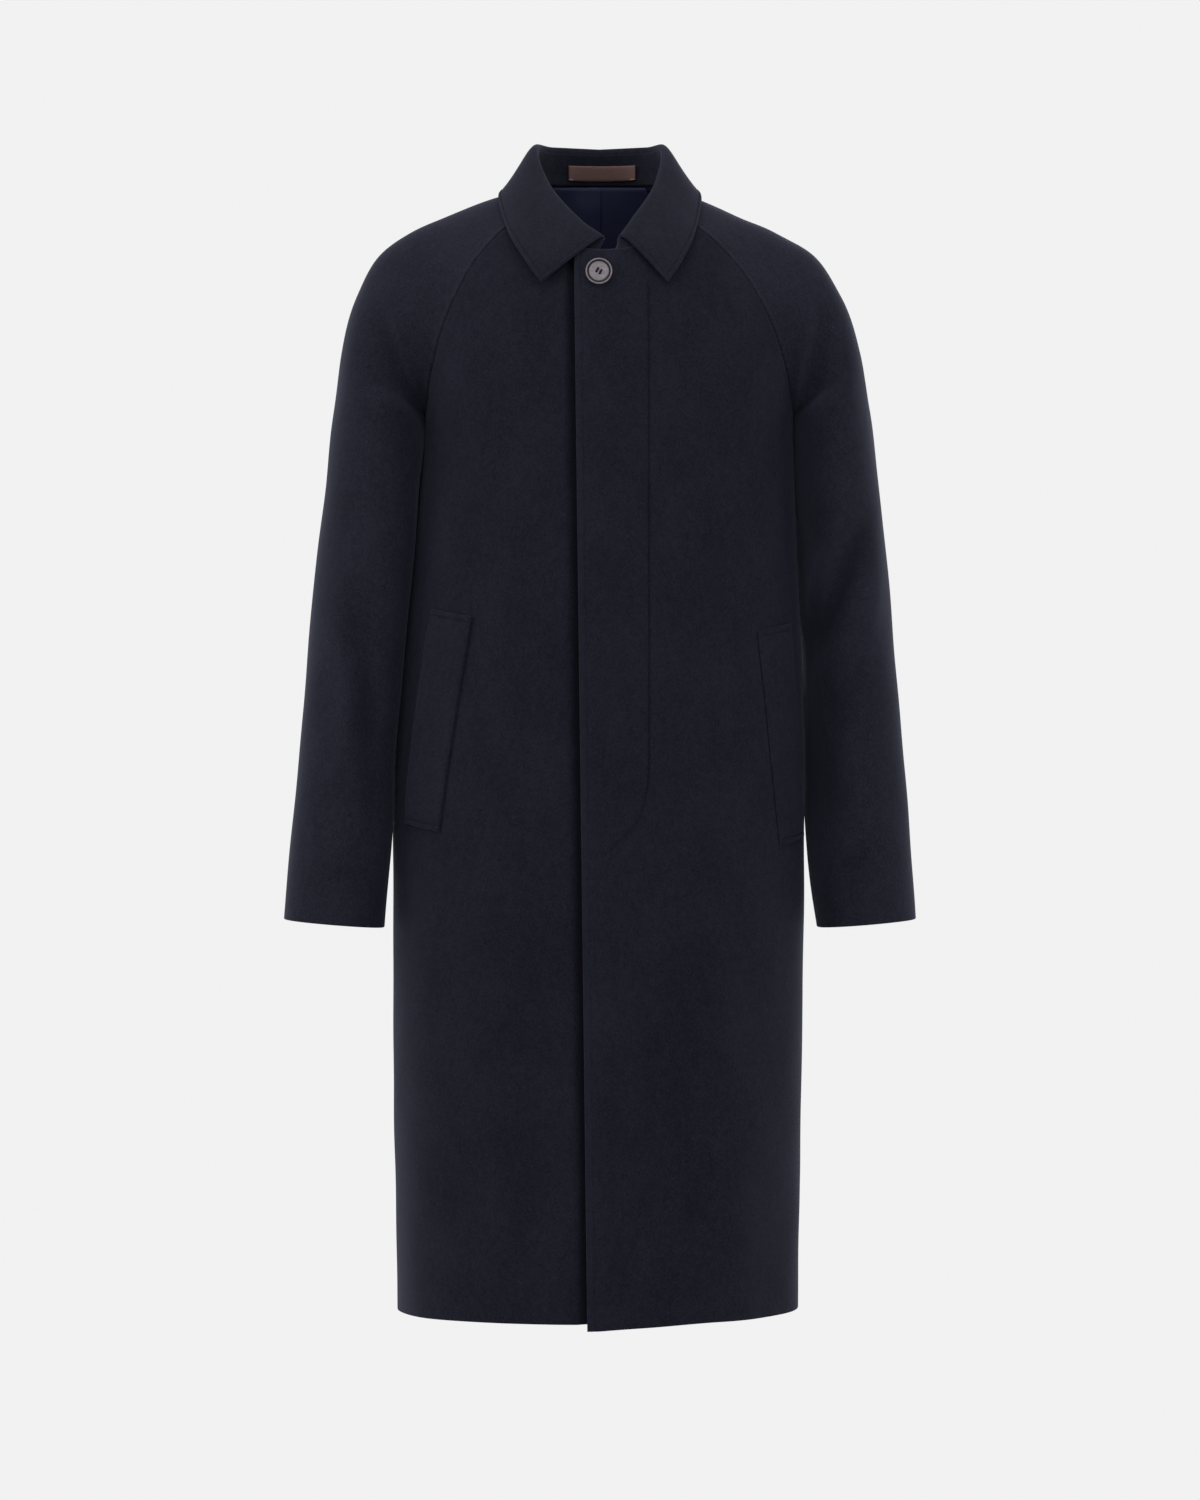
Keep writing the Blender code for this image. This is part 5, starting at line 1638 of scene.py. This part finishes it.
@dataclass
class FrontButton:
    """The one button that shows, with its four holes and two bars of thread."""

    x: float = -0.0005
    z: float = -0.1015
    tilt: float = math.radians(9)
    seat: float = 0.0015
    near: float = 0.03
    sides: int = 96
    rings: int = 64
    hole_radius: float = 0.0010
    hole_pitch: float = 0.0036
    hole_turn: float = math.radians(60)
    hole_sides: int = 20
    drill: tuple[float, float] = (-0.002, 0.008)
    # Where the painted shade of the groove lies
    groove_shade_radius: float = 0.0104
    groove_shade_width: float = 0.0009
    groove_shade_starts: float = 0.0008
    thread_radius: float = 0.00042
    thread_points: int = 13
    thread_past: float = 0.12
    thread_foot: float = 0.0027
    thread_rise: float = 0.0009
    thread_power: float = 0.6
    strand_step: float = 0.00050

    def profile(self) -> Array:
        """Radius and height from the middle of the foot over the raised rim to the middle of the face."""
        table = np.array(BUTTON_PROFILE)
        runs = run_lengths(table[None])[0]
        return smooth(runs, table, np.linspace(0, runs[-1], self.rings))

    def hole_places(self) -> Array:
        """The four holes' places on the face."""
        angle = self.hole_turn + np.pi / 4 + np.arange(4) * np.pi / 2
        return self.hole_pitch / math.sqrt(2) * np.stack([np.cos(angle), np.sin(angle)], axis=1)

    def place(self, grid: Array) -> Matrix:
        """Where the button sits on the left front, tilted back with the chest."""
        flat = grid[np.abs(grid[:, 0, 2] - self.z) < self.near].reshape(-1, 3)
        gap = np.hypot(flat[:, 0] - self.x, flat[:, 2] - self.z)
        way = Vector((0.0, -math.cos(self.tilt), math.sin(self.tilt)))
        seat = Vector((self.x, float(flat[gap.argmin(), 1]), self.z)) + way * (self.seat + LYING_GAP)
        return Matrix.Translation(seat) @ way.to_track_quat("Z", "Y").to_matrix().to_4x4()

    @staticmethod
    def turned(name: str, radii: Array, heights: Array, sides: int, centre: Array) -> bpy.types.Object:
        """A closed body of rings round an upright axis.

        Args:
            name: its name.
            radii: each ring's radius.
            heights: each ring's height.
            sides: how many points a ring has.
            centre: where the axis stands in x and y.
        Returns:
            The new object.
        """
        angle = np.linspace(0, 2 * np.pi, sides, endpoint=False)
        x, y = (radii[:, None] * way(angle) + middle for way, middle in zip((np.cos, np.sin), centre))
        points = np.stack([x, y, np.broadcast_to(heights[:, None], x.shape)], axis=-1).reshape(-1, 3)
        index = np.arange(x.size).reshape(x.shape)
        after = np.roll(index, -1, axis=1)
        faces = np.stack([index[:-1], after[:-1], after[1:], index[1:]], axis=-1).reshape(-1, 4).tolist()
        mesh = bpy.data.meshes.new(name)
        mesh.from_pydata(points.tolist(), [], faces + [index[0, ::-1].tolist(), index[-1].tolist()])
        return linked(name, mesh)

    def build(self, grid: Array, finish: bpy.types.Material, thread: bpy.types.Material) -> None:
        """Turns the button, drills it and sews it on."""
        place = self.place(grid)
        radii, heights = self.profile()[1:-1].T
        blank = self.turned("button_turned", radii, heights, self.sides, np.zeros(2))
        mesh = blank.data
        mesh.polygons.foreach_set("use_smooth", np.ones(len(mesh.polygons), bool))
        mesh.materials.append(finish)
        # Painted shade in the groove between the rim and the face, stored for the horn to darken
        ring = bell(radii - self.groove_shade_radius, self.groove_shade_width) * (heights > self.groove_shade_starts)
        stored = mesh.attributes.new("ring", "FLOAT", "POINT")
        stored.data.foreach_set("value", np.repeat(ring, self.sides).astype(np.float32))
        size = np.full(2, self.hole_radius)
        drills = []
        for centre in self.hole_places():
            drill = self.turned("hole_drill", size, np.array(self.drill), self.hole_sides, centre)
            cut = blank.modifiers.new(drill.name, "BOOLEAN")
            cut.operation, cut.solver, cut.object = "DIFFERENCE", "EXACT", drill
            drills.append(drill)
        bpy.context.view_layer.update()
        drilled = bpy.data.meshes.new_from_object(blank.evaluated_get(bpy.context.evaluated_depsgraph_get()))
        drilled.name = "button_top_horn"
        drilled.transform(place)
        piece = linked("button_top_horn", drilled)
        for old in [blank, *drills]:
            bpy.data.objects.remove(old, do_unlink=True)
        dress(piece, "button_top")
        self.sew(place, thread)

    def sew(self, place: Matrix, thread: bpy.types.Material) -> None:
        """Two bars of thread, each of three strands from hole to hole."""
        holes = self.hole_places()
        t = np.linspace(-self.thread_past, 1 + self.thread_past, self.thread_points)[:, None]
        rise = np.sin(np.pi * np.clip(t, 0, 1)) ** self.thread_power
        height = self.thread_foot + self.thread_rise * rise
        lines = []
        for first, second in ((0, 1), (3, 2)):
            bar = holes[second] - holes[first]
            aside = np.array([-bar[1], bar[0]]) / np.linalg.norm(bar)
            for strand in (-1.0, 0.0, 1.0):
                flat = holes[first] + bar * t + aside * strand * self.strand_step
                lines.append(np.concatenate([flat, height], axis=1))
        points = np.array(lines) @ np.array(place.to_3x3()).T + np.array(place.translation)
        dress(thread_tubes("button_thread", points, self.thread_radius, thread))


def thread_tubes(name: str, lines: Array, radius: float, finish: bpy.types.Material) -> bpy.types.Object:
    """Round tubes along lines of equal point counts.

    Each point carries a ring of six places in the plane square to the line there.

    Args:
        name: the piece's name.
        lines: (count, points, 3) places.
        radius: the thread's radius.
        finish: its material.
    Returns:
        The new object.
    """
    along = np.gradient(lines, axis=1)
    along /= np.linalg.norm(along, axis=-1, keepdims=True)
    first = np.cross(along, np.array(THREAD_ASIDE))
    first /= np.linalg.norm(first, axis=-1, keepdims=True)
    second = np.cross(along, first)
    angle = np.arange(6) * np.pi / 3
    ring = first[:, :, None] * np.cos(angle)[:, None] + second[:, :, None] * np.sin(angle)[:, None]
    taper = np.ones(lines.shape[1])
    taper[[0, -1]] = THREAD_TAPER
    points = lines[:, :, None] + ring * (radius * taper)[:, None, None]
    index = np.arange(points.shape[0] * points.shape[1] * 6).reshape(points.shape[:3])
    after = np.roll(index, -1, axis=2)
    quads = np.stack([index[:, :-1], after[:, :-1], after[:, 1:], index[:, 1:]], axis=-1).reshape(-1, 4)
    caps = [index[:, 0][:, order] for order in ((3, 2, 1, 0), (5, 4, 3, 0))]
    caps += [index[:, -1][:, order] for order in ((0, 1, 2, 3), (0, 3, 4, 5))]
    return new_object(name, points.reshape(-1, 3), np.concatenate([quads, *caps]), finish)


@dataclass
class Stitching:
    """Rows of stitches along lines on the cloth."""

    finish: bpy.types.Material
    pitch: float = 0.0034
    length: float = 0.0027
    radius: float = 0.00024
    sink: float = 0.00012
    points: int = 5
    end_dip: float = 1.6

    def stitches(self, points: Array, normals: Array) -> Array:
        """Centre lines of the stitches of one row: short arches that dip into the cloth at both ends."""
        runs = run_lengths(points[None])
        centres = np.arange(self.pitch, runs[0, -1] - self.pitch, self.pitch)
        steps = np.linspace(-0.5, 0.5, self.points)
        wanted = centres[:, None] + steps * self.length
        row = np.zeros(wanted.shape, int)
        at, out = (at_runs(values[None], runs, row, wanted) for values in (points, normals))
        arch = self.radius * (1 - (2 * steps) ** 4 * self.end_dip) - self.sink
        return at + out * arch[:, None]

    def sew(self, name: str, rows: Sequence[tuple[Array, Array]]) -> None:
        """Makes one piece of all the stitches along some lines."""
        lines = np.concatenate([self.stitches(*row) for row in rows])
        dress(thread_tubes(name, lines, self.radius, self.finish))


def panel_line(
    skin: Array, normals: Array, distance: float, from_end: bool, rows: Any
) -> tuple[Array, Array]:
    """A line on a panel at a distance from its first or last column.

    Args:
        skin: the panel's grid.
        normals: its normals.
        distance: how far inside the border the line runs.
        from_end: whether it is measured from the last column.
        rows: the rows that it runs along, as a slice or a row of truths.
    Returns:
        The line's points and normals.
    """
    runs = run_lengths(skin)
    index = np.arange(len(skin))[rows]
    wanted = runs[index, -1] - distance if from_end else np.full(len(index), distance)
    return at_runs(skin, runs, index, wanted), at_runs(normals, runs, index, wanted)


@dataclass
class CoatSewing:
    """The edge stitching of the front, fly, collar, raglan seams and welts."""

    shell: CoatShell
    sink: float = 0.0004
    fly_sink: float = 0.00076
    raglan_lift: float = 0.0001
    front_margin: int = 4
    hem_margin: int = 2
    cap_margin: int = 3
    fly_points: int = 336
    fly_columns: int = 90
    fly_nearest: int = 4
    fly_even: int = 13

    def fly_line(self) -> tuple[Array, Array]:
        """The fly stitching on the left front, from its path in the front view.

        Each place of the path takes the surface point of the nearest few grid points, weighted by the
        inverse of their distances, and the depths are then evened along the path.

        Returns:
            The line's points and normals.
        """
        places = np.linspace(0, len(FLY_STITCH) - 1, self.fly_points)
        path = smooth(np.arange(len(FLY_STITCH)), np.array(FLY_STITCH), places)
        panel = self.shell.grids["front_left"], self.shell.normals["front_left"]
        flat, ways = (values[:, : self.fly_columns].reshape(-1, 3) for values in panel)
        gap = np.hypot(flat[None, :, 0] - path[:, :1], flat[None, :, 2] - path[:, 1:])
        nearest = np.argpartition(gap, self.fly_nearest, axis=1)[:, : self.fly_nearest]
        weight = 1 / (np.take_along_axis(gap, nearest, axis=1) + 1e-5)
        weight /= weight.sum(axis=1, keepdims=True)
        y = np.pad((flat[nearest, 1] * weight).sum(axis=1), self.fly_even // 2, mode="edge")
        y = np.convolve(y, np.ones(self.fly_even) / self.fly_even, mode="valid")
        points = np.stack([path[:, 0], y, path[:, 1]], axis=1)
        return points, (ways[nearest] * weight[..., None]).sum(axis=1)

    def sew(self, collar_line: tuple[Array, Array], welts: list, thread: bpy.types.Material) -> None:
        """Sews all the lines.

        Args:
            collar_line: the collar's line of stitching.
            welts: the welts' lines of stitching.
            thread: the thread's material.
        """
        grids, normals = self.shell.grids, self.shell.normals
        sewing = Stitching(thread)
        rows = slice(self.front_margin, -self.hem_margin)
        edge, out = panel_line(grids["front_left"], normals["front_left"], EDGE_STITCH, False, rows)
        fly, fly_out = self.fly_line()
        front = [(edge - out * self.sink, out), (fly - fly_out * self.fly_sink, fly_out)]
        sewing.sew("front_stitches", front)
        cap = slice(self.cap_margin, self.shell.body.cap_rows - 1)
        raglan = []
        for side in Side:
            for half, from_end in (("sleeve_front_", False), ("sleeve_back_", True)):
                name = half + side.word
                line, out = panel_line(grids[name], normals[name], LAP_WIDTH, from_end, cap)
                raglan.append((line + out * self.raglan_lift, out))
        sewing.sew("raglan_stitches", raglan)
        sewing.sew("collar_stitches", [collar_line])
        sewing.sew("welt_stitches", welts)


class Lamp(NamedTuple):
    """A round soft lamp: where it stands, its size and its power in watts."""

    name: str
    at: tuple[float, float, float]
    size: float
    watts: float


LAMPS = (
    Lamp("left_lamp", (-3.2, -0.9, 1.0), 2.0, 44.0),
    Lamp("right_lamp", (3.2, -0.9, 1.0), 2.0, 28.0),
    Lamp("top_lamp", (-0.4, -1.0, 2.4), 1.6, 16.0),
    Lamp("back_lamp", (0.6, 3.2, 1.0), 2.0, 24.0),
)


@dataclass
class Studio:
    """A plain pale floor and surround, soft light and the camera of the photograph."""

    camera_at: tuple[float, float, float] = (0.0005, -4.5, -0.550)
    lens: float = 112.5
    sensor: float = 36.0
    sight: float = 100.0
    aim: tuple[float, float, float] = (0.0, 0.0, -0.50)
    pale: tuple[float, float, float, float] = (0.885, 0.885, 0.885, 1.0)
    floor_z: float = -1.75
    floor_half: float = 14.0
    floor_points: int = 9

    def surround(self) -> None:
        """A pale world that lights evenly from all sides."""
        world = bpy.data.worlds.new("pale_surround")
        world.use_nodes = True
        inputs = world.node_tree.nodes["Background"].inputs
        inputs["Color"].default_value, inputs["Strength"].default_value = self.pale, 1.0
        bpy.context.scene.world = world
        bpy.context.scene.view_settings.view_transform = "Standard"

    def floor(self) -> None:
        """A pale floor that glows as the surround does, so that no horizon shows."""
        nodes = FinishNodes("pale_floor")
        glow = nodes.add("ShaderNodeEmission", {"Color": self.pale, "Strength": 1.0})
        nodes.add("ShaderNodeOutputMaterial", {"Surface": glow.outputs[0]})
        line = np.linspace(-1, 1, self.floor_points) * self.floor_half
        x, y = np.meshgrid(line, line)
        points = np.stack([x, y, np.full_like(x, self.floor_z)], axis=-1).reshape(-1, 3)
        new_object("floor", points, grid_quads(*x.shape), nodes.material)

    def light(self, lamp: Lamp) -> None:
        """A lamp that faces the coat's middle."""
        data = bpy.data.lights.new(lamp.name, "AREA")
        data.shape, data.size, data.energy = "DISK", lamp.size, lamp.watts
        made = linked(lamp.name, data)
        made.location = lamp.at
        made.rotation_euler = (Vector(self.aim) - made.location).to_track_quat("-Z", "Y").to_euler()

    def camera(self) -> None:
        """A level camera that looks along +Y at the coat's middle height."""
        data = bpy.data.cameras.new("camera")
        data.lens, data.sensor_width, data.clip_end = self.lens, self.sensor, self.sight
        made = linked("camera", data)
        made.location = self.camera_at
        made.rotation_euler = (math.radians(90), 0.0, 0.0)
        bpy.context.scene.camera = made

    def build(self) -> None:
        """Sets up the whole studio."""
        self.surround()
        self.floor()
        for lamp in LAMPS:
            self.light(lamp)
        self.camera()


def main() -> None:
    """Builds the coat piece by piece, sews it, and sets up the studio."""
    logging.basicConfig(level=logging.INFO, format="%(name)s: %(message)s")
    # The collar and sleeves get lighter copies of the wool as painted light
    wool, collar_wool_painted_light, sleeve_wool_painted_light = (WOOL.material(name, *pair) for name, pair in WOOL_COLOURS.items())
    navy, black, pale = (THREAD.material(name, *pair) for name, pair in THREAD_COLOURS.items())
    trunk = Trunk()
    shell = CoatShell(trunk, BodyCut(trunk), ClothSurface())
    shell.build(wool, sleeve_wool_painted_light)
    collar = Collar(shell)
    stand, inward, fall, fall_out = collar.build(collar_wool_painted_light)
    label, label_out = NeckLabel().build(stand, inward, WEAVE.material("brown_weave", *WEAVE_COLOURS))
    BackLining().build(shell, SATIN.material("navy_satin", *SATIN_COLOURS))
    left_lie = {"open_lift": 0.0004, "sewn_drop": 0.0022, "sewn_ease": 0.024}
    right_welt = PocketWelt(Side.RIGHT, 0.1270, -0.4250, 0.1580, -0.6270)
    left_welt = PocketWelt(Side.LEFT, 0.1550, -0.4380, 0.1860, -0.6400, **left_lie)
    welt_lines = right_welt.build(shell, wool) + left_welt.build(shell, wool)
    FrontButton().build(shell.grids["front_left"], HORN.material("grey_horn", *HORN_COLOURS), black)
    CoatSewing(shell).sew(collar.stitch_line(fall, fall_out), welt_lines, navy)
    tacks = [(label[1, ends], label_out[1, ends]) for ends in TACKED_ENDS]
    Stitching(pale, pitch=0.0012, length=0.0016, radius=0.0003).sew("label_tacks", tacks)
    Studio().build()


if __name__ == "__main__":
    main()
